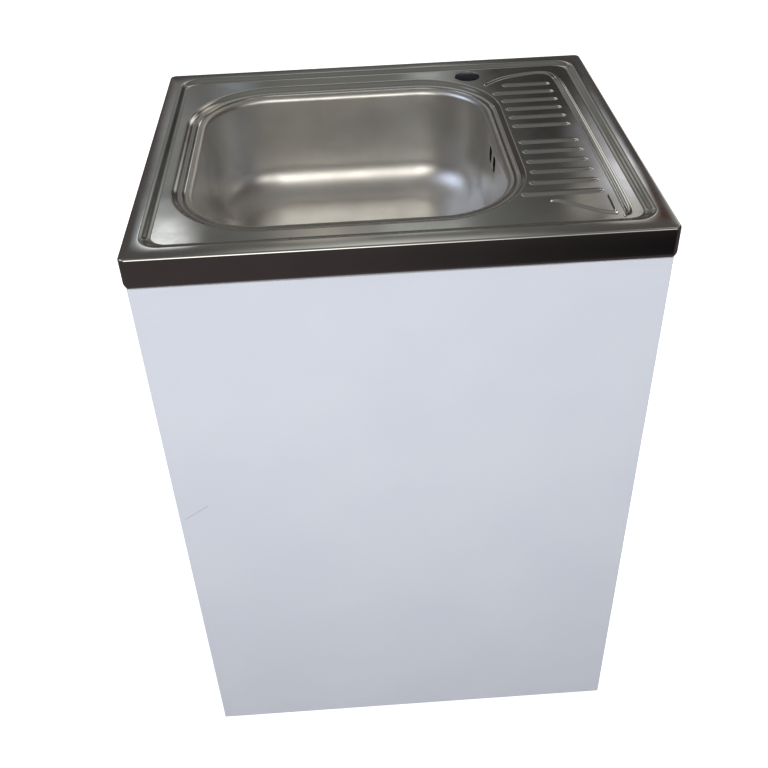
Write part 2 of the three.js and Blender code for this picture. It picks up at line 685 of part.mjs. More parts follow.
/** The bowl's hollow as a solid plug, thicker by a growth: rounded mouth, wall, rounded foot, floor. */
function bowlPlug(growth) {
  const rings = [];
  const mouthRadius = BOWL_ROLL - growth;
  const footRadius = BOWL_FOOT_RADIUS + growth;
  for (let i = BOWL_CURVE_STEPS; i >= 0; i -= 1) {
    const angle = i / BOWL_CURVE_STEPS * Math.PI / 2;
    const reach = BOWL_ROLL - mouthRadius * Math.cos(angle);
    const z = BOWL_FLANGE_Z - BOWL_ROLL + mouthRadius * Math.sin(angle);
    rings.push(ring(grown(BOWL_BOX, reach), BOWL_RADIUS + reach, z));
  }
  for (let i = 0; i <= BOWL_CURVE_STEPS; i += 1) {
    const angle = i / BOWL_CURVE_STEPS * Math.PI / 2;
    const reach = footRadius * Math.cos(angle) - BOWL_FOOT_RADIUS - BOWL_DRAFT;
    const z = BOWL_FLOOR_Z + BOWL_FOOT_RADIUS - footRadius * Math.sin(angle);
    rings.push(ring(grown(BOWL_BOX, reach), BOWL_RADIUS + reach / 2, z));
  }
  return skin(rings);
}

/** A cutting tool for one overflow opening, through the bowl's wall along X. */
function overflowOpening(y) {
  const half = OVERFLOW_SIZE / 2;
  const reach = 2 * OVERFLOW_SIZE;
  const outline = new THREE.Shape();
  const straight = half - OVERFLOW_CORNER;
  outline.absarc(straight, straight, OVERFLOW_CORNER, 0, Math.PI / 2);
  outline.absarc(-straight, straight, OVERFLOW_CORNER, Math.PI / 2, Math.PI);
  outline.absarc(-straight, -straight, OVERFLOW_CORNER, Math.PI, 1.5 * Math.PI);
  outline.absarc(straight, -straight, OVERFLOW_CORNER, 1.5 * Math.PI, 2 * Math.PI);
  const settings = { depth: reach, curveSegments: 3, bevelEnabled: false };
  const opening = new THREE.ExtrudeGeometry(outline, settings);
  return opening.rotateY(Math.PI / 2).translate(BOWL_BOX.x1 - reach / 2, y, OVERFLOW_Z);
}

function overflowOpenings() {
  return [-1, 1].map((side) => overflowOpening(OVERFLOW_Y + side * OVERFLOW_PITCH / 2));
}

function sinkBowl() {
  const flangeRing = (drop) => (
    ring(grown(BOWL_BOX, BOWL_FLANGE), BOWL_RADIUS + BOWL_FLANGE, BOWL_FLANGE_Z - drop));
  const flange = skin([flangeRing(0), flangeRing(SHEET)]);
  const drainHole = bar("z", DRAIN_RADIUS + TOUCH_GAP, -SHEET * 2, SHEET, ROUND)
    .translate(BOWL_X, BOWL_Y, BOWL_FLOOR_Z);
  const shell = cut(join(flange, bowlPlug(SHEET)), bowlPlug(0), drainHole, ...overflowOpenings());
  return piece("sink_bowl", shell, "satinSteel");
}

// ---------------------------------------------------------------- cabinet

function sidePanel(side, sign) {
  const x0 = Math.min(sign * SIDE_OUTER_X, sign * SIDE_INNER_X);
  const board = block(x0, x0 + BOARD, CARCASS_FRONT_Y, CARCASS_REAR_Y, GLIDE_HEIGHT, SIDE_TOP_Z);
  const glidePins = GLIDE_PLACES.filter((glide) => glide.sign === sign)
    .map(({ y }) => bar("z", GLIDE_PIN_RADIUS + FIT_CLEARANCE, 0, GLIDE_HEIGHT + GLIDE_PIN_LENGTH + 1,
      SMALL_ROUND).translate(sign * SIDE_MID_X, y, 0));
  const plateHoles = sign < 0 ? plateScrewPlaces().map((place) => (
    sideScrew(SMALL_SCREW, 1, FIT_CLEARANCE).translate(place.x, place.y, place.z))) : [];
  const clipHoles = clipScrewPlaces(sign).map((place) => (
    sideScrew(SMALL_SCREW, -sign, FIT_CLEARANCE).translate(place.x, place.y, place.z)));
  const latchHole = bar("x", LATCH_DOWEL_RADIUS + FIT_CLEARANCE, -1, LATCH_DOWEL_LENGTH + TOUCH_GAP,
    SMALL_ROUND).translate(SIDE_INNER_X, CARCASS_FRONT_Y + LATCH_SETBACK + LATCH_LENGTH / 2, LATCH_Z);
  const panel = cut(board, ...carcassScrewHoles(), ...glidePins, ...plateHoles, ...clipHoles,
    ...(sign > 0 ? [latchHole] : []));
  return piece(`side_panel_${side}`, panel, "whiteBoard");
}

/** A board that runs between the side panels. */
function crossBoard(name, y0, y1, z0, z1) {
  const board = block(-SIDE_INNER_X, SIDE_INNER_X, y0, y1, z0, z1);
  return piece(name, cut(board, ...carcassScrewHoles()), "whiteBoard");
}

function backPanel() {
  const board = block(-SIDE_OUTER_X, SIDE_OUTER_X, CARCASS_REAR_Y, CARCASS_REAR_Y + BACK_BOARD,
    BOTTOM_Z, BACK_TOP_Z);
  const cutout = block(BOWL_X - CUTOUT_WIDTH / 2, BOWL_X + CUTOUT_WIDTH / 2,
    CARCASS_REAR_Y - BOARD, CARCASS_REAR_Y + BOARD, CUTOUT_LOW, CUTOUT_HIGH);
  return piece("back_panel", cut(board, cutout), "hardboard");
}

const GLIDE_PLACES = SIDES.flatMap(({ name, sign }) => [
  { name: `glide_front_${name}`, sign, y: CARCASS_FRONT_Y + GLIDE_INSET },
  { name: `glide_rear_${name}`, sign, y: CARCASS_REAR_Y - GLIDE_INSET },
]);

/** A nail-on glide: a round foot with a pin up into the side panel's lower edge. */
function glides() {
  const profile = [[0, 0], [GLIDE_RADIUS - GLIDE_CHAMFER, 0], [GLIDE_RADIUS, GLIDE_CHAMFER],
    [GLIDE_RADIUS, GLIDE_HEIGHT],
    [GLIDE_PIN_RADIUS, GLIDE_HEIGHT], [GLIDE_PIN_RADIUS, GLIDE_HEIGHT + GLIDE_PIN_LENGTH],
    [0, GLIDE_HEIGHT + GLIDE_PIN_LENGTH]];
  return GLIDE_PLACES.map(({ name, sign, y }) => {
    const glide = piece(name, turned(profile, SMALL_ROUND), "whitePlastic");
    glide.position.set(sign * SIDE_MID_X, y, 0);
    return glide;
  });
}

/** Places of the sink clips' screws on one side panel's inner face. */
function clipScrewPlaces(sign) {
  const ends = { front: CARCASS_FRONT_Y + CLIP_FRONT_INSET, rear: CARCASS_REAR_Y - CLIP_REAR_INSET };
  return Object.entries(ends).map(([end, y]) => ({
    end,
    x: sign * (SIDE_INNER_X - CLIP_THICKNESS),
    y,
    z: RAIL_TOP_Z - CLIP_SCREW_DROP,
  }));
}

/** An angle clip against the side panel, its tab under the deck's sunk field. */
function sinkClips() {
  return SIDES.flatMap(({ name: side, sign }) => clipScrewPlaces(sign).flatMap((place) => {
    const wall = sign * SIDE_INNER_X;
    const face = sign * (SIDE_INNER_X - CLIP_THICKNESS);
    const tip = sign * (SIDE_INNER_X - CLIP_TAB);
    const y0 = place.y - CLIP_WIDTH / 2;
    const y1 = place.y + CLIP_WIDTH / 2;
    const leg = block(Math.min(wall, face), Math.max(wall, face), y0, y1,
      RAIL_TOP_Z - CLIP_LEG, RAIL_TOP_Z);
    const tab = block(Math.min(wall, tip), Math.max(wall, tip), y0, y1,
      RAIL_TOP_Z - CLIP_THICKNESS, RAIL_TOP_Z);
    const hole = sideScrew(SMALL_SCREW, -sign, FIT_CLEARANCE).translate(place.x, place.y, place.z);
    const screw = piece(`clip_screw_${place.end}_${side}`, screwShape(SMALL_SCREW), "zincSteel");
    screw.position.set(place.x, place.y, place.z);
    screw.rotation.y = -sign * Math.PI / 2;
    return [piece(`sink_clip_${place.end}_${side}`, cut(join(leg, tab), hole), "zincSteel"), screw];
  }));
}

function cabinet() {
  return assembly(0, 0, 0, [
    ...SIDES.map(({ name, sign }) => sidePanel(name, sign)),
    crossBoard("bottom_panel", CARCASS_FRONT_Y, CARCASS_REAR_Y, BOTTOM_Z, BOTTOM_Z + BOARD),
    crossBoard("front_rail", CARCASS_FRONT_Y, CARCASS_FRONT_Y + BOARD, BACK_TOP_Z, RAIL_TOP_Z),
    crossBoard("rear_rail", CARCASS_REAR_Y - BOARD, CARCASS_REAR_Y, BACK_TOP_Z, RAIL_TOP_Z),
    backPanel(),
    ...glides(),
    ...carcassScrews(),
    ...sinkClips(),
  ]);
}

// ---------------------------------------------------------------- door and hinges

/** The door in its own frame: x from the hinge edge, y from the back face, z from its lower end. */
function doorBoard() {
  const outline = [[0, -BOARD], [DOOR_WIDTH, -BOARD], [DOOR_WIDTH, 0], [DOOR_EASED_EDGE, 0],
    [0, -DOOR_EASED_EDGE]];
  const cupBores = Object.values(HINGE_Z).flatMap((z) => [
    bar("y", CUP_RADIUS + FIT_CLEARANCE, -CUP_DEPTH - TOUCH_GAP, BOARD)
      .translate(CUP_X, 0, z - DOOR_FLOOR_GAP),
    ...dowelPlaces().map((place) => (
      bar("y", DOWEL_RADIUS + FIT_CLEARANCE, -DOWEL_LENGTH - TOUCH_GAP, BOARD, SMALL_ROUND)
        .translate(place.x, 0, z - DOOR_FLOOR_GAP + place.z))),
  ]);
  return piece("door", cut(plateShape(outline, DOOR_HEIGHT), ...cupBores), "whiteBoard");
}

/** Places of the cup's two dowels, from the hinge's centre. */
function dowelPlaces() {
  return [-1, 1].map((end) => ({ x: CUP_X + DOWEL_OFFSET, z: end * DOWEL_SPACING / 2 }));
}

/** The hinge cup, pressed into the door's back with its flange and two dowels. */
function hingeCup(name) {
  const disc = bar("y", CUP_RADIUS, -CUP_DEPTH, CUP_FLANGE);
  const flange = bar("y", CUP_RADIUS + CUP_FLANGE_LAP, 0, CUP_FLANGE);
  const wingEnd = DOWEL_SPACING / 2 + DOWEL_RADIUS + CUP_WING;
  const wings = block(0, DOWEL_OFFSET + DOWEL_RADIUS + CUP_WING, 0, CUP_FLANGE, -wingEnd, wingEnd);
  const dowels = dowelPlaces().map((place) => (
    bar("y", DOWEL_RADIUS, -DOWEL_LENGTH, CUP_FLANGE, SMALL_ROUND)
      .translate(place.x - CUP_X, 0, place.z)));
  const pocketLeft = PIVOT_FROM_EDGE - EYE_RADIUS - EYE_ROOM - CUP_X;
  const pocket = block(pocketLeft, pocketLeft + CUP_POCKET_LENGTH, -CUP_POCKET_DEPTH, BOARD,
    -CUP_POCKET_WIDTH / 2, CUP_POCKET_WIDTH / 2);
  const pinBore = bar("z", PIN_RADIUS + FIT_CLEARANCE, -PIN_LENGTH / 2 - TOUCH_GAP,
    PIN_LENGTH / 2 + TOUCH_GAP, PIN_ROUND).translate(PIVOT_FROM_EDGE - CUP_X, -PIVOT_FROM_BACK, 0);
  const cup = piece(name, cut(join(disc, flange, wings, ...dowels), pocket, pinBore), "zincSteel");
  cup.position.set(CUP_X, 0, 0);
  return cup;
}

function hingePin(name) {
  const rod = bar("z", PIN_RADIUS, -PIN_LENGTH / 2, PIN_LENGTH / 2, PIN_ROUND);
  const pin = piece(name, rod, "zincSteel");
  pin.position.set(PIVOT_FROM_EDGE, -PIVOT_FROM_BACK, 0);
  return pin;
}

/** The arm: an eye on the pin, a crank out of the cup's mouth, and a leg along the mounting plate. */
function hingeArm(name) {
  const half = ARM_WIDTH / 2;
  const eye = bar("z", EYE_RADIUS, -half, half, PIN_ROUND)
    .translate(PIVOT_FROM_EDGE, -PIVOT_FROM_BACK, 0);
  const crank = block(PIVOT_FROM_EDGE, ARM_FROM_EDGE + ARM_THICKNESS,
    -PIVOT_FROM_BACK - ARM_THICKNESS / 2, -PIVOT_FROM_BACK + ARM_THICKNESS / 2, -half, half);
  const leg = block(ARM_FROM_EDGE, ARM_FROM_EDGE + ARM_THICKNESS,
    -PIVOT_FROM_BACK - ARM_THICKNESS / 2, ARM_LENGTH, -half, half);
  const bore = bar("z", PIN_RADIUS + PIN_RUNNING_CLEARANCE, -ARM_WIDTH, ARM_WIDTH, PIN_ROUND)
    .translate(PIVOT_FROM_EDGE, -PIVOT_FROM_BACK, 0);
  return piece(name, cut(join(eye, crank, leg), bore), "zincSteel");
}

/** Places of the mounting plates' screws, in the unit's frame. */
function plateScrewPlaces() {
  return Object.entries(HINGE_Z).flatMap(([level, z]) => [-1, 1].map((end) => ({
    level,
    end: end < 0 ? "low" : "high",
    x: -SIDE_INNER_X + PLATE_THICKNESS,
    y: DOOR_BACK_Y + PLATE_START + PLATE_LENGTH / 2,
    z: z + end * PLATE_SCREW_SPACING / 2,
  })));
}

/** The cross-shaped mounting plate on the side panel, under the arm. */
function hingePlate(name) {
  const middle = PLATE_START + PLATE_LENGTH / 2;
  const wingHalf = SMALL_SCREW.head + PLATE_WING;
  const seat = block(SIDE_INNER_FROM_EDGE, PLATE_TOP_FROM_EDGE, PLATE_START, PLATE_START + PLATE_LENGTH,
    -PLATE_ARM_HEIGHT / 2, PLATE_ARM_HEIGHT / 2);
  const wings = block(SIDE_INNER_FROM_EDGE, PLATE_TOP_FROM_EDGE, middle - wingHalf, middle + wingHalf,
    -PLATE_HEIGHT / 2, PLATE_HEIGHT / 2);
  const holes = [-1, 1].map((end) => sideScrew(SMALL_SCREW, 1, FIT_CLEARANCE)
    .translate(PLATE_TOP_FROM_EDGE, middle, end * PLATE_SCREW_SPACING / 2));
  return piece(name, cut(join(seat, wings), ...holes), "zincSteel");
}

function hinge(level, z) {
  return assembly(DOOR_LEFT_X, DOOR_BACK_Y, z, [
    hingeCup(`hinge_cup_${level}`),
    hingePin(`hinge_pin_${level}`),
    hingeArm(`hinge_arm_${level}`),
    hingePlate(`hinge_plate_${level}`),
  ]);
}

function plateScrews() {
  return plateScrewPlaces().map(({ level, end, x, y, z }) => {
    const screw = piece(`plate_screw_${level}_${end}`, screwShape(SMALL_SCREW), "zincSteel");
    screw.position.set(x, y, z);
    screw.rotation.y = Math.PI / 2;
    return screw;
  });
}

function bumpers() {
  const places = { upper: DOOR_HEIGHT - BUMPER_END_INSET, lower: BUMPER_END_INSET };
  return Object.entries(places).map(([level, z]) => {
    const pad = bar("y", BUMPER_RADIUS, 0, DOOR_CARCASS_GAP - TOUCH_GAP, SMALL_ROUND);
    const bumper = piece(`door_bumper_${level}`, pad, "clearPad");
    bumper.position.set(SIDE_MID_X - DOOR_LEFT_X, 0, z);
    return bumper;
  });
}

function door() {
  return assembly(DOOR_LEFT_X, DOOR_BACK_Y, DOOR_FLOOR_GAP, [doorBoard(), ...bumpers()]);
}

/** The push latch: a housing on the right side panel, its plunger, and the strike on the door. */
function latch() {
  const mouth = CARCASS_FRONT_Y + LATCH_SETBACK;
  const tip = DOOR_BACK_Y + STRIKE_THICKNESS + TOUCH_GAP;
  const body = block(-LATCH_WIDTH / 2, LATCH_WIDTH / 2, 0, LATCH_LENGTH,
    -LATCH_HEIGHT / 2, LATCH_HEIGHT / 2);
  const bore = bar("y", PLUNGER_RADIUS + TOUCH_GAP, -1, LATCH_LENGTH - LATCH_BORE_END, PIN_ROUND);
  const dowel = bar("x", LATCH_DOWEL_RADIUS, LATCH_WIDTH / 2 - 1, LATCH_WIDTH / 2 + LATCH_DOWEL_LENGTH,
    SMALL_ROUND).translate(0, LATCH_LENGTH / 2, 0);
  const housing = piece("latch_housing", cut(join(body, dowel), bore), "whitePlastic");
  housing.position.set(0, mouth, 0);
  const rod = bar("y", PLUNGER_RADIUS, 0, PLUNGER_LENGTH, PIN_ROUND);
  const plunger = piece("latch_plunger", rod, "whitePlastic");
  plunger.position.set(0, tip, 0);
  const disc = bar("y", STRIKE_RADIUS, 0, STRIKE_THICKNESS, PIN_ROUND);
  const strike = piece("latch_strike", disc, "zincSteel");
  strike.position.set(0, DOOR_BACK_Y, 0);
  return assembly(LATCH_X, 0, LATCH_Z, [housing, plunger, strike]);
}

// ---------------------------------------------------------------- waste, trap and overflow

/** The strainer body: lip on the bowl's floor, cup, cone and outlet spigot. z = 0 is the bowl's floor. */
function strainerBody() {
  const coneTop = -STRAINER_CUP_DEPTH;
  const coneEnd = coneTop - STRAINER_CONE;
  const cupInner = DRAIN_RADIUS - STRAINER_WALL;
  const profile = [
    [cupInner, STRAINER_LIP], [STRAINER_LIP_RADIUS - STRAINER_LIP_TAPER, STRAINER_LIP],
    [STRAINER_LIP_RADIUS, 0],
    [DRAIN_RADIUS, 0], [DRAIN_RADIUS, coneTop],
    [PIPE_RADIUS, coneEnd], [PIPE_RADIUS, -SPIGOT_END_DROP], [PIPE_RADIUS - PIPE_WALL, -SPIGOT_END_DROP],
    [PIPE_RADIUS - PIPE_WALL, coneEnd + STRAINER_WALL], [cupInner, coneTop + STRAINER_WALL],
  ];
  return piece("strainer_body", turned(profile), "satinSteel");
}

/** The lift-out basket: rim, perforated cup and a knob on a stem. */
function strainerBasket() {
  const cupInner = DRAIN_RADIUS - STRAINER_WALL;
  const outletInner = PIPE_RADIUS - PIPE_WALL;
  const rim = cupInner - BASKET_CLEARANCE;
  const foot = rim - BASKET_TAPER;
  // the foot's edge stands on the cone of the strainer body
  const coneDrop = (cupInner - foot) / (cupInner - outletInner) * STRAINER_CONE;
  const floor = STRAINER_WALL - STRAINER_CUP_DEPTH - coneDrop + TOUCH_GAP;
  const stem = KNOB_RADIUS / 3;
  const profile = [
    [0, floor], [foot, floor], [rim, -BASKET_RIM], [rim, 0], [rim - BASKET_WALL, 0],
    [rim - BASKET_WALL, -BASKET_RIM], [foot - BASKET_WALL, floor + BASKET_WALL],
    [stem, floor + BASKET_WALL], [stem, KNOB_HEIGHT - KNOB_THICKNESS - KNOB_TAPER],
    [KNOB_RADIUS, KNOB_HEIGHT - KNOB_THICKNESS], [KNOB_RADIUS - KNOB_TAPER, KNOB_HEIGHT],
    [0, KNOB_HEIGHT],
  ];
  const holes = [];
  for (let i = 0; i < BASKET_HOLES; i += 1) {
    const angle = i / BASKET_HOLES * 2 * Math.PI;
    const hole = bar("z", BASKET_HOLE_RADIUS, floor - 1, floor + 2 * BASKET_WALL, BASKET_HOLE_SIDES);
    holes.push(hole.translate(
      BASKET_HOLE_CIRCLE * Math.cos(angle), BASKET_HOLE_CIRCLE * Math.sin(angle), 0));
  }
  return piece("strainer_basket", cut(turned(profile), ...holes), "satinSteel");
}

function wasteSeal() {
  const inner = DRAIN_RADIUS + TOUCH_GAP;
  const seal = tube(inner + LOCKNUT_WALL, inner, -SHEET - SEAL_THICKNESS, -SHEET);
  return piece("waste_seal", seal, "blackRubber");
}

/** The big locknut, with lugs to turn it by. */
function wasteLocknut() {
  const inner = DRAIN_RADIUS + TOUCH_GAP;
  const top = -SHEET - SEAL_THICKNESS;
  const collar = tube(inner + LOCKNUT_WALL, inner, top - LOCKNUT_HEIGHT, top);
  return piece("waste_locknut", join(collar, ...lugs(inner + LOCKNUT_WALL, top - LOCKNUT_HEIGHT, top)),
    "whitePlastic");
}

/** Small upright lugs round a nut. */
function lugs(radius, z0, z1) {
  const places = [];
  for (let i = 0; i < NUT_LUGS; i += 1) {
    const lug = block(radius - LUG_SIZE / 2, radius + LUG_SIZE / 2, -LUG_SIZE / 2, LUG_SIZE / 2, z0, z1);
    places.push(lug.rotateZ(i / NUT_LUGS * 2 * Math.PI));
  }
  return places;
}

/** A slip nut round a pipe. Its middle is at z = 0. */
function slipNut(name, pipeRadius, height = NUT_HEIGHT) {
  const outer = pipeRadius + TOUCH_GAP + NUT_WALL;
  const collar = tube(outer, pipeRadius + TOUCH_GAP, -height / 2, height / 2);
  return piece(name, join(collar, ...lugs(outer, -height / 2, height / 2)), "whitePlastic");
}

/** The tailpiece: a dip tube into the trap, with a branch for the overflow hose. z = 0 is its top. */
function tailpiece() {
  const pipe = bar("z", PIPE_RADIUS, -TAIL_LENGTH, 0);
  const bore = bar("z", PIPE_RADIUS - PIPE_WALL, -TAIL_LENGTH - 1, 1);
  const branch = bar("x", BRANCH_RADIUS, 0, BRANCH_REACH, SMALL_ROUND)
    .translate(0, 0, -TAIL_BRANCH_DROP);
  const branchBore = bar("x", BRANCH_RADIUS - BRANCH_WALL, 0, BRANCH_REACH + 1, SMALL_ROUND)
    .translate(0, 0, -TAIL_BRANCH_DROP);
  return piece("tailpiece", cut(join(pipe, branch), bore, branchBore), "whitePlastic");
}

/** The trap's body: a bottle top with a neck for the dip tube and a side outlet. z = 0 is its top. */
function trapBody() {
  const neckInner = PIPE_RADIUS + TOUCH_GAP;
  const neckOuter = neckInner + TRAP_WALL;
  const inner = TRAP_RADIUS - TRAP_WALL;
  const shell = turned([
    [neckInner, TRAP_NECK], [neckOuter, TRAP_NECK], [neckOuter, 0], [TRAP_RADIUS - TRAP_SHOULDER, 0],
    [TRAP_RADIUS, -TRAP_SHOULDER], [TRAP_RADIUS, -TRAP_BODY_HEIGHT], [inner, -TRAP_BODY_HEIGHT],
    [inner, -TRAP_WALL - TRAP_SHOULDER / 2], [inner - TRAP_SHOULDER / 2, -TRAP_WALL],
    [neckInner, -TRAP_WALL],
  ]);
  const start = inner + TRAP_WALL / 2;
  const outlet = bar("y", OUTLET_PIPE_RADIUS, start, TRAP_OUTLET_REACH)
    .translate(0, 0, -TRAP_OUTLET_DROP);
  const bore = bar("y", OUTLET_PIPE_RADIUS - OUTLET_PIPE_WALL, TRAP_RADIUS / 2, TRAP_OUTLET_REACH + 1)
    .translate(0, 0, -TRAP_OUTLET_DROP);
  return piece("trap_body", cut(join(shell, outlet), bore), "whitePlastic");
}

/** The trap's cup, which laps over the body's lower end. z = 0 is the body's lower end. */
function trapCup() {
  const inner = TRAP_RADIUS + TOUCH_GAP;
  const outer = inner + TRAP_WALL;
  const floor = TRAP_CUP_LAP - TRAP_CUP_HEIGHT;
  const waist = outer - TRAP_CUP_WAIST;
  const foot = waist - TRAP_CUP_WAIST;
  const profile = [
    [0, floor], [outer - TRAP_CUP_FOOT, floor], [foot, floor + TRAP_CUP_FOOT_RISE],
    [waist, -2 * TRAP_CUP_WAIST], [outer, 0], [outer, TRAP_CUP_LAP], [inner, TRAP_CUP_LAP],
    [inner, -TOUCH_GAP], [waist - 2 * TRAP_WALL, -2 * TRAP_WALL],
    [foot - 2 * TRAP_WALL, floor + TRAP_CUP_FOOT_RISE + TRAP_WALL],
    [outer - TRAP_CUP_FOOT - TRAP_WALL, floor + TRAP_WALL], [0, floor + TRAP_WALL],
  ];
  const cup = join(turned(profile), ...lugs(outer, 0, TRAP_CUP_LAP));
  return piece("trap_cup", cup, "whitePlastic");
}

/** The outlet pipe to the wall, end to end with the trap's outlet inside the nut. */
function trapOutletPipe() {
  const start = BOWL_Y + TRAP_OUTLET_REACH + TOUCH_GAP;
  const pipe = tube(OUTLET_PIPE_RADIUS, OUTLET_PIPE_RADIUS - OUTLET_PIPE_WALL, start, OUTLET_END_Y);
  return piece("trap_outlet_pipe", pipe.rotateX(-Math.PI / 2), "whitePlastic");
}

/** The waste and trap, hung under the bowl about the drain's axis. */
function waste() {
  const upperNut = slipNut("tailpiece_nut", PIPE_RADIUS);
  upperNut.position.z = TAIL_TOP_Z + TOUCH_GAP / 2 - BOWL_FLOOR_Z;
  const tail = tailpiece();
  tail.position.z = TAIL_TOP_Z - BOWL_FLOOR_Z;
  const neckRadius = PIPE_RADIUS + TOUCH_GAP + TRAP_WALL;
  const inletNut = slipNut("trap_inlet_nut", neckRadius, TRAP_NECK - TRAP_WALL);
  inletNut.position.z = TRAP_TOP_Z + TRAP_NECK / 2 - BOWL_FLOOR_Z;
  const trap = trapBody();
  trap.position.z = TRAP_TOP_Z - BOWL_FLOOR_Z;
  const cup = trapCup();
  cup.position.z = TRAP_BODY_END_Z - BOWL_FLOOR_Z;
  const outletNut = slipNut("trap_outlet_nut", OUTLET_PIPE_RADIUS);
  outletNut.rotation.x = -Math.PI / 2;
  outletNut.position.set(0, TRAP_OUTLET_REACH + TOUCH_GAP / 2, TRAP_OUTLET_Z - BOWL_FLOOR_Z);
  const outletPipe = trapOutletPipe();
  outletPipe.position.set(0, -BOWL_Y, TRAP_OUTLET_Z - BOWL_FLOOR_Z);
  return assembly(BOWL_X, BOWL_Y, BOWL_FLOOR_Z, [
    strainerBody(), strainerBasket(), wasteSeal(), wasteLocknut(), upperNut, tail, inletNut, trap, cup,
    outletNut, outletPipe,
  ]);
}

/** A block behind the bowl's wall, cut to lie along it with a small gap. */
function againstBowl(geometry, gap) {
  return cut(geometry, bowlPlug(SHEET).translate(gap, 0, 0));
}

function overflowSeal() {
  const half = ELBOW_WIDTH / 2;
  const pad = block(BOWL_BOX.x1 - BOWL_DRAFT, ELBOW_X - TOUCH_GAP, OVERFLOW_Y - half, OVERFLOW_Y + half,
    OVERFLOW_Z - ELBOW_HEIGHT / 2, OVERFLOW_Z + ELBOW_HEIGHT / 2);
  return piece("overflow_seal", cut(againstBowl(pad, TOUCH_GAP), ...overflowOpenings()), "blackRubber");
}

/** The overflow elbow: a shallow box open towards the bowl, with a spigot down into the hose. */
function overflowElbow() {
  const half = ELBOW_WIDTH / 2;
  const box = block(0, ELBOW_DEPTH, -half, half, -ELBOW_HEIGHT / 2, ELBOW_HEIGHT / 2);
  const hollow = block(-1, ELBOW_DEPTH - ELBOW_WALL, -half + ELBOW_WALL, half - ELBOW_WALL,
    -ELBOW_HEIGHT / 2 + ELBOW_WALL, ELBOW_HEIGHT / 2 - ELBOW_WALL);
  const spigotX = HOSE_X - ELBOW_X;
  const spigotEnd = -ELBOW_HEIGHT / 2 - SPIGOT_LENGTH;
  const spigot = bar("z", BRANCH_RADIUS, spigotEnd, -ELBOW_HEIGHT / 2 + 1, SMALL_ROUND);
  const bore = bar("z", BRANCH_RADIUS - BRANCH_WALL, spigotEnd - 1, 0, SMALL_ROUND);
  const elbow = cut(join(box, spigot.translate(spigotX, 0, 0)), hollow, bore.translate(spigotX, 0, 0));
  const mesh = piece("overflow_elbow", elbow, "greyPlastic");
  mesh.position.set(ELBOW_X, OVERFLOW_Y, OVERFLOW_Z);
  return mesh;
}

/** The hose's route: down from the elbow's spigot, round one bend, and across to the branch. */
function hoseRoute() {
  const endX = BOWL_X + PIPE_RADIUS + HOSE_END_GAP;
  const straight = 2 * HOSE_RADIUS;
  const bendInset = HOSE_BEND_RADIUS * (1 - Math.SQRT1_2);
  const midY = (OVERFLOW_Y + BOWL_Y) / 2;
  return new THREE.CatmullRomCurve3([
    new THREE.Vector3(HOSE_X, OVERFLOW_Y, HOSE_TOP_Z),
    new THREE.Vector3(HOSE_X, OVERFLOW_Y, HOSE_TOP_Z - straight),
    new THREE.Vector3(HOSE_X, OVERFLOW_Y, BRANCH_Z + HOSE_BEND_RADIUS),
    new THREE.Vector3(HOSE_X - bendInset, midY, BRANCH_Z + bendInset),
    new THREE.Vector3(HOSE_X - HOSE_BEND_RADIUS, BOWL_Y, BRANCH_Z),
    new THREE.Vector3(endX + straight, BOWL_Y, BRANCH_Z),
    new THREE.Vector3(endX, BOWL_Y, BRANCH_Z),
  ], false, "centripetal");
}

/** The ribbed hose, with its bore. */
function overflowHose() {
  const route = hoseRoute();
  const across = new THREE.Vector3(0, 1, 0);
  const roundOn = (share, radius) => (
    roundAt(route.getPointAt(share), route.getTangentAt(share), across, radius, HOSE_SIDES));
  const ribCount = Math.round(route.getLength() / HOSE_RIB_PITCH);
  const rounds = [];
  for (let i = 0; i <= ribCount; i += 1) {
    rounds.push(roundOn(i / ribCount, HOSE_GROOVE_RADIUS));
    if (i < ribCount) {
      rounds.push(roundOn((i + 0.5) / ribCount, HOSE_RADIUS));
    }
  }
  const boreRadius = (BRANCH_RADIUS + TOUCH_GAP) / Math.cos(Math.PI / HOSE_SIDES);
  const boreCount = Math.ceil(ribCount / HOSE_RIBS_PER_BORE_RING);
  for (let i = boreCount; i >= 0; i -= 1) {
    rounds.push(roundOn(i / boreCount, boreRadius));
  }
  return piece("overflow_hose", skin(rounds, true), "greyPlastic");
}

// ---------------------------------------------------------------- the unit

const unit = new THREE.Group();
unit.add(
  assembly(0, 0, 0, [sinkDeck(), sinkBowl()]),
  cabinet(),
  door(),
  ...Object.entries(HINGE_Z).map(([level, z]) => hinge(level, z)),
  ...plateScrews(),
  latch(),
  waste(),
  assembly(0, 0, 0, [overflowSeal(), overflowElbow(), overflowHose()]),
);

export default unit;
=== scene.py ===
"""Kitchen sink unit: the looks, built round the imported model.

Metres, +Z up, the door faces -Y, and the origin is the middle of the footprint on the floor.
"""

import json
import logging
import math
from collections.abc import Callable
from dataclasses import dataclass
from enum import Enum

import bmesh
import bpy
from mathutils import Matrix, Vector

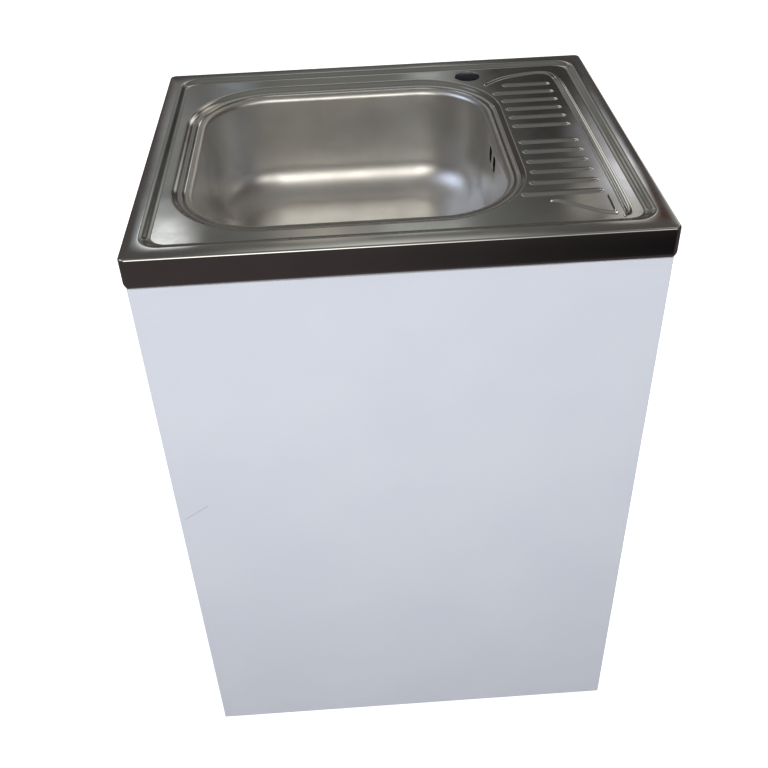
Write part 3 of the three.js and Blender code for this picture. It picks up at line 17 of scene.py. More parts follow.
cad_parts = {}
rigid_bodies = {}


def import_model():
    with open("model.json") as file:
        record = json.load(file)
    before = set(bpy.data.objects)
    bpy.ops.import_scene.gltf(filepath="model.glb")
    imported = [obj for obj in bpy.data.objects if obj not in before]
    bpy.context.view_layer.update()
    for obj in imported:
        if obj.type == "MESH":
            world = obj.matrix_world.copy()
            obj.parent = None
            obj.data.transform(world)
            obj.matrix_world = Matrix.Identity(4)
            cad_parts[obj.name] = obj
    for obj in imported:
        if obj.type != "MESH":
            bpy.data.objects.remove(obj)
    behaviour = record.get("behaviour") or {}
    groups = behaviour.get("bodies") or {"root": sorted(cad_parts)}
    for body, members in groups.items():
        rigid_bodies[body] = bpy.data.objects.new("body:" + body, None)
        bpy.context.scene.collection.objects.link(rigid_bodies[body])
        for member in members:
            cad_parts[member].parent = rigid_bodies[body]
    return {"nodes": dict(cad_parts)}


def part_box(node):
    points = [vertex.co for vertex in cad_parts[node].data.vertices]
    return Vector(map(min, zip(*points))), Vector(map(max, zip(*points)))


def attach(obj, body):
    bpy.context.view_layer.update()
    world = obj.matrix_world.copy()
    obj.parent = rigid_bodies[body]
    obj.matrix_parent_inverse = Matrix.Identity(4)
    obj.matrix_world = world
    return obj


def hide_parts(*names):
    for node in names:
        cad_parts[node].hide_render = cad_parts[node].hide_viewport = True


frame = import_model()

LOG = logging.getLogger("kitchen_sink_unit")
MM = 0.001
MERGE = 1e-6  # points nearer than this are one
CORNER_STEPS = 24  # steps round each corner of an outline
ROUND = 64  # steps round a circle
SHARP = math.radians(40.0)  # edges that turn by more than this are rounded
LEVEL = math.radians(1.0)  # faces that turn by less than this become one before rounding
FLAT_AREA = 0.0004  # larger faces of a rounded board are shaded flat
LEAST_RADIUS = 0.0005  # the tightest corner of an outline
RIB_POWER = 0.6  # below 1, it makes a grip rib's crest broad
RIGHT = Vector((1, 0, 0)).freeze()
REAR = Vector((0, 1, 0)).freeze()
UP = Vector((0, 0, 1)).freeze()

Mesh = bmesh.types.BMesh
Edges = list[bmesh.types.BMEdge]
Piece = bpy.types.Object
Socket = bpy.types.NodeSocket
Sockets = bpy.types.bpy_prop_collection
Triple = tuple[float, float, float]
Color = tuple[float, float, float, float]
Profile = tuple[tuple[float, float], ...]
Ring = list[Vector]
Feed = Socket | Vector | tuple[float, ...] | float


class Body(Enum):
    """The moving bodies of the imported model."""

    CABINET = "cabinet"
    DOOR = "door"
    PLUNGER = "plunger"
    BASKET = "basket"


class Slot(Enum):
    """The record's material slots."""

    POLISHED_STEEL = "polished_steel"
    SATIN_STEEL = "satin_steel"
    WHITE_BOARD = "white_board"
    HARDBOARD = "hardboard"
    ZINC_STEEL = "zinc_steel"
    WHITE_PLASTIC = "white_plastic"
    GREY_PLASTIC = "grey_plastic"
    BLACK_RUBBER = "black_rubber"
    CLEAR_PAD = "clear_pad"


def linear(red: float, green: float, blue: float) -> Color:
    """Turns a screen colour into the renderer's linear colour.

    Args:
        red: Red from 0 to 255.
        green: Green from 0 to 255.
        blue: Blue from 0 to 255.

    Returns:
        The linear colour with full alpha.
    """
    parts = [value / 255 for value in (red, green, blue)]
    return (*[part / 12.92 if part <= 0.04045 else ((part + 0.055) / 1.055) ** 2.4 for part in parts], 1.0)


# ---------------------------------------------------------------- shader groups

FLOAT = "NodeSocketFloat"
VECTOR = "NodeSocketVector"
COLOR = "NodeSocketColor"


class Wiring:
    """Adds nodes to one node tree and feeds their inputs."""

    def __init__(self, tree: bpy.types.NodeTree) -> None:
        """Keeps the tree to work on."""
        self.tree = tree

    def feed(self, node: bpy.types.Node, feeds: dict[str | int, Feed]) -> None:
        """Feeds a node's inputs.

        Args:
            node: The node.
            feeds: A socket or a plain value for each input, by its name or number.
        """
        for key, value in feeds.items():
            if isinstance(value, Socket):
                self.tree.links.new(value, node.inputs[key])
            else:
                node.inputs[key].default_value = value

    def add(self, kind: str, feeds: dict[str | int, Feed], **settings: object) -> Sockets:
        """Adds a node.

        Args:
            kind: The node's Blender type, after its "ShaderNode".
            feeds: What feeds its inputs.
            **settings: Its properties.

        Returns:
            The node's outputs.
        """
        node = self.tree.nodes.new(f"ShaderNode{kind}")
        for name, value in settings.items():
            setattr(node, name, value)
        self.feed(node, feeds)
        return node.outputs

    def group(self, tree: bpy.types.NodeTree, **feeds: Feed) -> Socket:
        """Places a shader group, feeds its inputs and gives its output."""
        return self.add("Group", feeds, node_tree=tree)[0]

    def noise(self, position: Feed, density: Feed, detail: float, roughness: float = 0.5) -> Socket:
        """Adds a noise and gives its value."""
        feeds = {"Vector": position, "Scale": density, "Detail": detail, "Roughness": roughness}
        return self.add("TexNoise", feeds)["Fac"]

    def ramp(self, value: Feed, start: Feed, end: Feed, low: Feed = 0.0, high: Feed = 1.0) -> Socket:
        """Eases a value between start and end into a value between low and high."""
        feeds = {"Value": value, "From Min": start, "From Max": end, "To Min": low, "To Max": high}
        return self.add("MapRange", feeds, interpolation_type="SMOOTHSTEP")["Result"]

    def mix(self, share: Feed, first: Feed, second: Feed) -> Socket:
        """Mixes two colours by a share."""
        return self.add("Mix", {"Factor": share, 6: first, 7: second}, data_type="RGBA")[2]

    def vector(self, operation: str, first: Feed, second: Feed) -> Socket:
        """Combines two vectors into one."""
        return self.add("VectorMath", {0: first, 1: second}, operation=operation)["Vector"]

    def measure(self, operation: str, first: Feed, second: Feed) -> Socket:
        """Combines two vectors into a number."""
        return self.add("VectorMath", {0: first, 1: second}, operation=operation)["Value"]


def shader_group(
    name: str, draw: Callable[[Wiring, Sockets], Socket], inputs: dict[str, str], output: tuple[str, str]
) -> bpy.types.NodeTree:
    """Builds a shader group with one output.

    Args:
        name: The group's name.
        draw: Draws its nodes from its inputs, and gives what it puts out.
        inputs: The kinds of its inputs, by name.
        output: The name and the kind of its output.

    Returns:
        The shader group.
    """
    tree = bpy.data.node_groups.new(name, "ShaderNodeTree")
    for socket, kind in inputs.items():
        tree.interface.new_socket(socket, in_out="INPUT", socket_type=kind)
    tree.interface.new_socket(output[0], in_out="OUTPUT", socket_type=output[1])
    start = tree.nodes.new("NodeGroupInput")
    end = tree.nodes.new("NodeGroupOutput")
    tree.links.new(draw(Wiring(tree), start.outputs), end.inputs[0])
    return tree


def draw_cloud(wiring: Wiring, start: Sockets) -> Socket:
    """Draws a soft cloudy value between two limits, for roughness."""
    noise = wiring.noise(start["Position"], start["Density"], 4.0, 0.6)
    return wiring.ramp(noise, 0.32, 0.68, start["Low"], start["High"])


def draw_tone(wiring: Wiring, start: Sockets) -> Socket:
    """Draws two near tones of one colour, mixed in soft patches."""
    noise = wiring.noise(start["Position"], start["Density"], 3.0)
    return wiring.mix(wiring.ramp(noise, 0.3, 0.7), start["Light"], start["Dark"])


def draw_grain(wiring: Wiring, start: Sockets) -> Socket:
    """Draws fine grain, drawn out along one direction by its stretch."""
    stretched = wiring.vector("MULTIPLY", start["Position"], start["Stretch"])
    return wiring.noise(stretched, start["Density"], 2.0)


def draw_hairline(wiring: Wiring, start: Sockets) -> Socket:
    """Draws the mask of one hairline scratch between two places.

    Args:
        wiring: The group's wiring.
        start: The group's inputs.

    Returns:
        The mask, 1 in the scratch's middle.
    """
    along = wiring.vector("SUBTRACT", start["To"], start["From"])
    offset = wiring.vector("SUBTRACT", start["Position"], start["From"])
    lengths = {0: wiring.measure("DOT_PRODUCT", offset, along), 1: wiring.measure("DOT_PRODUCT", along, along)}
    share = wiring.add("Math", lengths, operation="DIVIDE", use_clamp=True)["Value"]
    foot = wiring.add("VectorMath", {0: along, "Scale": share}, operation="SCALE")["Vector"]
    return wiring.ramp(wiring.measure("DISTANCE", offset, foot), 0.0, start["Width"], 1.0, 0.0)


def draw_glow(wiring: Wiring, start: Sockets) -> Socket:
    """Draws a soft round patch of the room, seen in one direction.

    Args:
        wiring: The group's wiring.
        start: The group's inputs.

    Returns:
        The patch's colour, or what is behind it.
    """
    away = wiring.vector("SUBTRACT", start["Direction"], start["Toward"])
    squashed = wiring.vector("MULTIPLY", away, start["Squash"])
    length = wiring.add("VectorMath", {0: squashed}, operation="LENGTH")["Value"]
    return wiring.mix(wiring.ramp(length, 0.0, start["Reach"], 1.0, 0.0), start["Behind"], start["Patch"])


SPOT = {"Position": VECTOR, "Density": FLOAT}
STROKE = {"Position": VECTOR, "From": VECTOR, "To": VECTOR, "Width": FLOAT}
LIT = {
    "Direction": VECTOR, "Squash": VECTOR, "Toward": VECTOR, "Reach": FLOAT, "Behind": COLOR, "Patch": COLOR,
}
CLOUD = shader_group("cloud", draw_cloud, SPOT | {"Low": FLOAT, "High": FLOAT}, ("Value", FLOAT))
TONE = shader_group("tone", draw_tone, SPOT | {"Light": COLOR, "Dark": COLOR}, ("Color", COLOR))
GRAIN = shader_group("grain", draw_grain, SPOT | {"Stretch": VECTOR}, ("Height", FLOAT))
HAIRLINE = shader_group("hairline", draw_hairline, STROKE, ("Mask", FLOAT))
GLOW = shader_group("glow", draw_glow, LIT, ("Color", COLOR))

# ---------------------------------------------------------------- finishes


@dataclass(frozen=True)
class Finish:
    """A finish: two near tones, a cloudy roughness, and a grain that raises the surface."""

    slot: Slot
    light: Color
    dark: Color
    tone_size: float = 0.05
    rough_low: float = 0.4
    rough_high: float = 0.5
    rough_size: float = 0.03
    metallic: float = 0.0
    specular: float = 0.5
    coat: float = 0.0
    grain_size: float = 0.0008
    grain_stretch: Triple = (1.0, 1.0, 1.0)
    grain_height: float = 0.00002
    wave_size: float = 0.1
    wave_height: float = 0.0

    @property
    def name(self) -> str:
        """The material's name."""
        return f"{self.slot.value}_finish"

    def material(self) -> bpy.types.Material:
        """Builds the material, or finds it if it is built.

        Returns:
            The material.
        """
        known = bpy.data.materials.get(self.name)
        if known:
            return known
        made = bpy.data.materials.new(self.name)
        made.use_nodes = True
        wiring = Wiring(made.node_tree)
        place = wiring.add("TexCoord", {})["Object"]
        cloud = wiring.group(
            CLOUD, Position=place, Density=1 / self.rough_size, Low=self.rough_low, High=self.rough_high
        )
        wiring.feed(made.node_tree.nodes["Principled BSDF"], {
            "Metallic": self.metallic, "Specular IOR Level": self.specular, "Coat Weight": self.coat,
            "Base Color": self.colour(wiring, place), "Roughness": cloud, "Normal": self.relief(wiring, place),
        })
        return made

    def colour(self, wiring: Wiring, place: Socket) -> Socket:
        """Gives the base colour, mixed of the two tones."""
        return wiring.group(TONE, Position=place, Density=1 / self.tone_size, Light=self.light, Dark=self.dark)

    def relief(self, wiring: Wiring, place: Socket) -> Socket:
        """Gives the normal, raised by the grain, and by a slow wave where the finish has one.

        Args:
            wiring: The material's wiring.
            place: The place on the surface.

        Returns:
            The normal.
        """
        grain = wiring.group(GRAIN, Position=place, Density=1 / self.grain_size, Stretch=self.grain_stretch)
        feeds = {"Distance": self.grain_height, "Height": grain}
        if self.wave_height:
            wave = wiring.group(GRAIN, Position=place, Density=1 / self.wave_size, Stretch=(1.0, 1.0, 1.0))
            feeds["Normal"] = wiring.add("Bump", {"Distance": self.wave_height, "Height": wave})["Normal"]
        return wiring.add("Bump", feeds)["Normal"]


@dataclass(frozen=True)
class FrontFinish(Finish):
    """The door's melamine, with one hairline scratch by its left edge."""

    scratch_start: Triple = (-0.291, -0.252, 0.453)
    scratch_end: Triple = (-0.258, -0.252, 0.475)
    scratch_width: float = 0.0007
    scratch_color: Color = linear(176, 172, 176)

    @property
    def name(self) -> str:
        """The material's name."""
        return "white_front_finish"

    def colour(self, wiring: Wiring, place: Socket) -> Socket:
        """Gives the base colour, mixed of the two tones and the scratch.

        Args:
            wiring: The material's wiring.
            place: The place on the surface.

        Returns:
            The base colour.
        """
        scratch = wiring.group(
            HAIRLINE, Position=place, From=self.scratch_start, To=self.scratch_end, Width=self.scratch_width
        )
        return wiring.mix(scratch, super().colour(wiring, place), self.scratch_color)


POLISHED_STEEL = Finish(
    Slot.POLISHED_STEEL, linear(205, 206, 205), linear(197, 198, 197), metallic=1.0, tone_size=0.09,
    rough_low=0.07, rough_high=0.11, rough_size=0.04, grain_size=0.0012, grain_stretch=(0.12, 1.0, 1.0),
    grain_height=0.000003, wave_size=0.13, wave_height=0.0003,
)
SATIN_STEEL = Finish(
    Slot.SATIN_STEEL, linear(224, 223, 220), linear(214, 213, 210), metallic=1.0, tone_size=0.06,
    rough_low=0.34, rough_high=0.4, rough_size=0.05, grain_size=0.0009, grain_height=0.000015,
)
WHITE_BOARD = Finish(
    Slot.WHITE_BOARD, linear(221, 225, 234), linear(218, 222, 232), tone_size=0.16, rough_low=0.44,
    rough_high=0.52, rough_size=0.11, grain_size=0.0016, grain_height=0.00002,
)
WHITE_FRONT = FrontFinish(
    Slot.WHITE_BOARD, linear(221, 225, 235), linear(218, 222, 233), tone_size=0.14, rough_low=0.42,
    rough_high=0.5, rough_size=0.12, grain_size=0.0016, grain_height=0.00002,
)
HARDBOARD = Finish(
    Slot.HARDBOARD, linear(186, 164, 134), linear(172, 149, 119), tone_size=0.0035, rough_low=0.55,
    rough_high=0.75, grain_size=0.0011, grain_stretch=(1.0, 1.0, 0.45), grain_height=0.00012,
)
ZINC_STEEL = Finish(
    Slot.ZINC_STEEL, linear(178, 182, 186), linear(150, 152, 156), metallic=1.0, tone_size=0.008,
    rough_low=0.25, rough_high=0.42, rough_size=0.006, grain_height=0.00003,
)
WHITE_PLASTIC = Finish(
    Slot.WHITE_PLASTIC, linear(236, 236, 232), linear(226, 226, 221), rough_low=0.35, rough_high=0.5,
    grain_size=0.0006, grain_height=0.00003,
)
GREY_PLASTIC = Finish(
    Slot.GREY_PLASTIC, linear(150, 154, 158), linear(136, 139, 143), rough_low=0.4, rough_high=0.55,
    grain_size=0.0006, grain_height=0.00004,
)
BLACK_RUBBER = Finish(
    Slot.BLACK_RUBBER, linear(34, 34, 35), linear(24, 24, 25), rough_low=0.65, rough_high=0.85,
    grain_size=0.0005, grain_height=0.00005,
)
CLEAR_PAD = Finish(
    Slot.CLEAR_PAD, linear(208, 212, 216), linear(198, 202, 206), rough_low=0.2, rough_high=0.35,
    coat=0.3, grain_height=0.00002,
)

# ---------------------------------------------------------------- mesh helpers


@dataclass(frozen=True)
class Outline:
    """A rounded rectangle seen from above."""

    left: float
    right: float
    front: float
    rear: float
    radius: float

    def grown(self, margin: float, radius: float | None = None) -> "Outline":
        """Moves every side out.

        Args:
            margin: How far, or inwards if it is negative.
            radius: The new corner radius, which follows the margin if it isn't given.

        Returns:
            The new outline.
        """
        corner = self.radius + margin if radius is None else radius
        return Outline(
            self.left - margin, self.right + margin, self.front - margin, self.rear + margin,
            max(corner, LEAST_RADIUS),
        )

    def ring(self, height: float) -> Ring:
        """Gives the outline at a height.

        Args:
            height: The height.

        Returns:
            The points, anticlockwise from above.
        """
        right, left = self.right - self.radius, self.left + self.radius
        rear, front = self.rear - self.radius, self.front + self.radius
        points = []
        for corner, (x, y) in enumerate([(right, rear), (left, rear), (left, front), (right, front)]):
            for share in shares(CORNER_STEPS):
                points.append(spot(self.radius, (corner + share) * math.pi / 2, x, y, height))
        return points


def shares(steps: int) -> list[float]:
    """Even shares from 0 to 1."""
    return [step / steps for step in range(steps + 1)]


def quarter(steps: int) -> list[Triple]:
    """Even shares of a quarter turn, each with its sine and its cosine."""
    return [(share, math.sin(share * math.pi / 2), math.cos(share * math.pi / 2)) for share in shares(steps)]


def ease(share: float) -> float:
    """A smooth step from 0 to 1."""
    return (1 - math.cos(math.pi * share)) / 2


def spot(radius: float, angle: float, x: float = 0.0, y: float = 0.0, height: float = 0.0) -> Vector:
    """A place at a radius and an angle about a level middle."""
    return Vector((x + radius * math.cos(angle), y + radius * math.sin(angle), height))


def circle(radius: float, height: float, segments: int = ROUND, x: float = 0.0, y: float = 0.0) -> Ring:
    """A level circle of points."""
    return [spot(radius, i / segments * 2 * math.pi, x, y, height) for i in range(segments)]


def loft(bm: Mesh, rings: list[Ring], scale: float = 1.0) -> tuple[Edges, Edges]:
    """Draws a skin over a stack of rings by extruding each ring into the next.

    Args:
        bm: The mesh to draw in.
        rings: Rings of as many points each.
        scale: The rings' unit in metres.

    Returns:
        The edges of the first ring and of the last ring.
    """
    made = bmesh.ops.create_circle(bm, cap_ends=False, segments=len(rings[0]), radius=1.0)
    loop = made["verts"]
    for vert, point in zip(loop, rings[0]):
        vert.co = point * scale
    edges = list(dict.fromkeys(edge for vert in loop for edge in vert.link_edges))
    first = edges
    for ring in rings[1:]:
        geom = bmesh.ops.extrude_edge_only(bm, edges=edges)["geom"]
        fresh = {item for item in geom if isinstance(item, bmesh.types.BMVert)}
        loop = [
            next(edge.other_vert(vert) for edge in vert.link_edges if edge.other_vert(vert) in fresh)
            for vert in loop
        ]
        for vert, point in zip(loop, ring):
            vert.co = point * scale
        edges = [
            item for item in geom
            if isinstance(item, bmesh.types.BMEdge) and all(vert in fresh for vert in item.verts)
        ]
    return first, edges


def fill(bm: Mesh, loops: list[Edges], normal: Vector = UP) -> None:
    """Fills the flat sheet between an outer loop of edges and the loops in it."""
    edges = [edge for loop in loops for edge in loop]
    bmesh.ops.triangle_fill(bm, use_beauty=True, use_dissolve=False, edges=edges, normal=normal)


def clean(bm: Mesh) -> None:
    """Joins a mesh's doubled points and makes its faces agree."""
    bmesh.ops.remove_doubles(bm, verts=bm.verts, dist=MERGE)
    bmesh.ops.recalc_face_normals(bm, faces=bm.faces)


def face_up(bm: Mesh) -> None:
    """Makes an open sheet's faces agree and look upwards on the whole.

    Args:
        bm: The sheet.
    """
    clean(bm)
    if sum(face.normal.z * face.calc_area() for face in bm.faces) < 0:
        bmesh.ops.reverse_faces(bm, faces=bm.faces)


def sharper(edge: bmesh.types.BMEdge, angle: float) -> bool:
    """Whether a closed edge turns by more than an angle."""
    return edge.is_manifold and edge.calc_face_angle(0.0) > angle


def soften(bm: Mesh, width: float) -> None:
    """Rounds a closed body's sharp edges.

    Args:
        bm: The body's mesh.
        width: The rounding's width, in metres.
    """
    sharp = [edge for edge in bm.edges if sharper(edge, SHARP)]
    bmesh.ops.bevel(
        bm, geom=sharp, offset=width, segments=2, profile=0.5, affect="EDGES", material=-1,
        clamp_overlap=True,
    )


def drawn(name: str, bm: Mesh) -> bpy.types.Mesh:
    """Turns a drawn mesh into one that an object can have.

    Args:
        name: Its name.
        bm: The drawn mesh, which is used up.

    Returns:
        The object's mesh.
    """
    mesh = bpy.data.meshes.new(name)
    bm.to_mesh(mesh)
    bm.free()
    return mesh


def shown(name: str, data: bpy.types.ID) -> Piece:
    """Puts an object in the scene.

    Args:
        name: Its name.
        data: Its mesh, camera or light.

    Returns:
        The object.
    """
    made = bpy.data.objects.new(name, data)
    bpy.context.scene.collection.objects.link(made)
    return made


def stand(name: str, bm: Mesh, body: Body, finish: Finish, nodes: list[str], crease: float = 45.0) -> Piece:
    """Makes a mesh a piece of the unit.

    Args:
        name: The piece's name.
        bm: Its mesh, which is used up.
        body: The body that it moves with.
        finish: Its finish.
        nodes: The model's nodes that it stands for.
        crease: Edges that turn by more than this, in degrees, stay sharp in the shading.

    Returns:
        The piece.
    """
    for face in bm.faces:
        face.smooth = True
    for edge in bm.edges:
        edge.smooth = not sharper(edge, math.radians(crease))
    made = shown(name, drawn(name, bm))
    made.data.materials.append(finish.material())
    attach(made, body.value)
    if nodes:
        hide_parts(*nodes)
    return made


def thicken(piece: Piece, wall: float) -> None:
    """Gives a sheet its thickness, on the side away from its faces.

    Args:
        piece: The sheet.
        wall: Its thickness.
    """
    solid = piece.modifiers.new("wall", "SOLIDIFY")
    solid.thickness = wall
    solid.offset = -1.0
    solid.use_even_offset = True


def softened(node: str, form: str, body: Body, finish: Finish, width: float) -> None:
    """Makes a piece from a node's merged copy with its edges rounded, and its large faces flat.

    Args:
        node: The model's node.
        form: What the piece is, for its name.
        body: The body that it moves with.
        finish: Its finish.
        width: The rounding's width.
    """
    bm = bmesh.new()
    bm.from_mesh(frame["nodes"][node].data)
    bmesh.ops.remove_doubles(bm, verts=bm.verts, dist=MERGE)
    bmesh.ops.dissolve_limit(
        bm, angle_limit=LEVEL, verts=bm.verts, edges=bm.edges, use_dissolve_boundaries=False
    )
    soften(bm, width)
    piece = stand(f"{node}_{form}", bm, body, finish, [node], crease=20.0)
    for polygon in piece.data.polygons:
        polygon.use_smooth = polygon.area < FLAT_AREA


def dress(node: str, finish: Finish) -> None:
    """Gives one of the model's own nodes a finish."""
    frame["nodes"][node].data.materials.clear()
    frame["nodes"][node].data.materials.append(finish.material())


def turned(profile: Profile, rounding: float = 0.4, segments: int = ROUND) -> Mesh:
    """Spins a profile about the z axis.

    Args:
        profile: Radii and heights in millimetres. It is open along the axis where it begins on the
            axis, and else it closes into a ring.
        rounding: Width of its rounded edges in millimetres.
        segments: Steps round the axis.

    Returns:
        The closed body.
    """
    bm = bmesh.new()
    verts = [bm.verts.new((radius * MM, 0.0, height * MM)) for radius, height in profile]
    pairs = list(zip(verts, verts[1:]))
    if profile[0][0] > 0:
        pairs.append((verts[-1], verts[0]))
    edges = [bm.edges.new(pair) for pair in pairs]
    bmesh.ops.spin(
        bm, geom=[*verts, *edges], cent=(0, 0, 0), axis=UP, angle=2 * math.pi, steps=segments, use_merge=True
    )
    clean(bm)
    soften(bm, rounding * MM)
    return bm


def flute(bm: Mesh, low: float, high: float, inside: float, count: int, depth: float) -> None:
    """Raises grip ribs round a turned body, in millimetres.

    Args:
        bm: The body.
        low: The ribs' lower end.
        high: Their upper end.
        inside: Only what lies beyond this radius is raised.
        count: How many ribs.
        depth: How far they stand out.
    """
    for vert in bm.verts:
        radius = math.hypot(vert.co.x, vert.co.y)
        if radius > inside * MM and low * MM < vert.co.z < high * MM:
            wave = max(0.0, math.cos(count * math.atan2(vert.co.y, vert.co.x))) ** RIB_POWER
            share = 1 + depth * MM * wave / radius
            vert.co.x *= share
            vert.co.y *= share


def placed(bm: Mesh, place: Triple, toward: Vector = UP) -> Mesh:
    """Turns a body's z axis towards a direction and moves it.

    Args:
        bm: The body.
        place: Where its own zero goes, in millimetres.
        toward: The direction.

    Returns:
        The same body.
    """
    if toward != UP:
        turn = UP.rotation_difference(toward).to_matrix()
        bmesh.ops.rotate(bm, cent=(0, 0, 0), matrix=turn, verts=bm.verts)
    bmesh.ops.translate(bm, verts=bm.verts, vec=Vector(place) * MM)
    return bm


def merged(first: Mesh, second: Mesh) -> Mesh:
    """Adds a second body to the first.

    Args:
        first: The body that grows.
        second: The body that is used up.

    Returns:
        The first body.
    """
    passing = drawn("passing", second)
    first.from_mesh(passing)
    bpy.data.meshes.remove(passing)
    return first


# ---------------------------------------------------------------- sink top


@dataclass(frozen=True)
class Ridge:
    """A pressed ridge along a path, with a soft foot and a round crest."""

    path: Ring
    half_widths: list[float]
    height: float
    border: float = 0.0003
    steps: int = 8
    cap_steps: int = 8

    def rings(self, base: float) -> list[Ring]:
        """Gives the ridge's outlines from its foot on a sheet at a height up to its crest."""
        rise = [self.outline(1 - share, base + self.height * ease(share)) for share in shares(self.steps)]
        return [self.outline(1.0, base, self.border), *rise]

    def outline(self, share: float, height: float, margin: float = 0.0) -> Ring:
        """Gives one outline round the path.

        Args:
            share: Its half width as a share of the foot's.
            height: Its height.
            margin: How far it stands off that width.

        Returns:
            The points, anticlockwise from above.
        """
        last = len(self.path) - 1
        sides = [self.side(i) for i in range(last + 1)]
        widths = [width * share + margin for width in self.half_widths]
        right = [self.path[i] - sides[i] * widths[i] for i in range(last + 1)]
        left = [self.path[i] + sides[i] * widths[i] for i in range(last, -1, -1)]
        end, start = self.cap(last, sides[last], widths[last], -1), self.cap(0, sides[0], widths[0], 1)
        return [Vector((point.x, point.y, height)) for point in right + end + left + start]

    def side(self, index: int) -> Vector:
        """Gives the direction to the left of the path.

        Args:
            index: The path's point.

        Returns:
            The direction, of length 1.
        """
        before = self.path[max(index - 1, 0)]
        after = self.path[min(index + 1, len(self.path) - 1)]
        ahead = (after - before).normalized()
        return Vector((-ahead.y, ahead.x, 0))

    def cap(self, index: int, side: Vector, width: float, turn: int) -> Ring:
        """Gives the points round one end of the path.

        Args:
            index: The path's point there.
            side: The direction to the left of the path.
            width: The end's radius.
            turn: 1 at the path's start, -1 at its end.

        Returns:
            The points between the two sides.
        """
        ahead = Vector((side.y, -side.x, 0)) * -turn
        points = []
        for share in shares(self.cap_steps)[1:-1]:
            angle = math.pi * share
            points.append(
                self.path[index] + side * (turn * math.cos(angle) * width) + ahead * (math.sin(angle) * width)
            )
        return points


def curve_span(a: Vector, b: Vector, c: Vector, d: Vector, share: float) -> Vector:
    """Finds a place on the centripetal curve between two points.

    Args:
        a: The point before.
        b: The first point.
        c: The second point.
        d: The point after.
        share: How far from b to c.

    Returns:
        The place.
    """
    before, here, after = (max(gap.length, 1e-9) ** 0.5 for gap in (b - a, c - b, d - c))
    start = ((b - a) / before - (c - a) / (before + here) + (c - b) / here) * here
    end = ((c - b) / here - (d - b) / (here + after) + (d - c) / after) * here
    square, cube = share * share, share * share * share
    return (
        b * (2 * cube - 3 * square + 1) + start * (cube - 2 * square + share)
        + c * (3 * square - 2 * cube) + end * (cube - square)
    )


def curve(knots: Ring, steps: int) -> Ring:
    """Draws a curve through knots.

    Args:
        knots: The points that it passes.
        steps: The steps between two of them.

    Returns:
        The curve's points.
    """
    padded = [knots[0] * 2 - knots[1], *knots, knots[-1] * 2 - knots[-2]]
    spans = zip(padded, padded[1:], padded[2:], padded[3:])
    return [curve_span(*span, step / steps) for span in spans for step in range(steps)] + [knots[-1]]


def curved_ridge(stops: tuple[Triple, ...], height: float, steps: int = 8) -> Ridge:
    """Draws a ridge through stops given in millimetres.

    Args:
        stops: Each stop's place seen from above, and the ridge's width there.
        height: The ridge's height in metres.
        steps: Points between two stops.

    Returns:
        The ridge.
    """
    halves = [width * MM / 2 for _, _, width in stops]
    widths = [
        start + (end - start) * step / steps for start, end in zip(halves, halves[1:]) for step in range(steps)
    ]
    knots = [Vector((x * MM, y * MM, 0)) for x, y, _ in stops]
    return Ridge(curve(knots, steps), [*widths, halves[-1]], height)


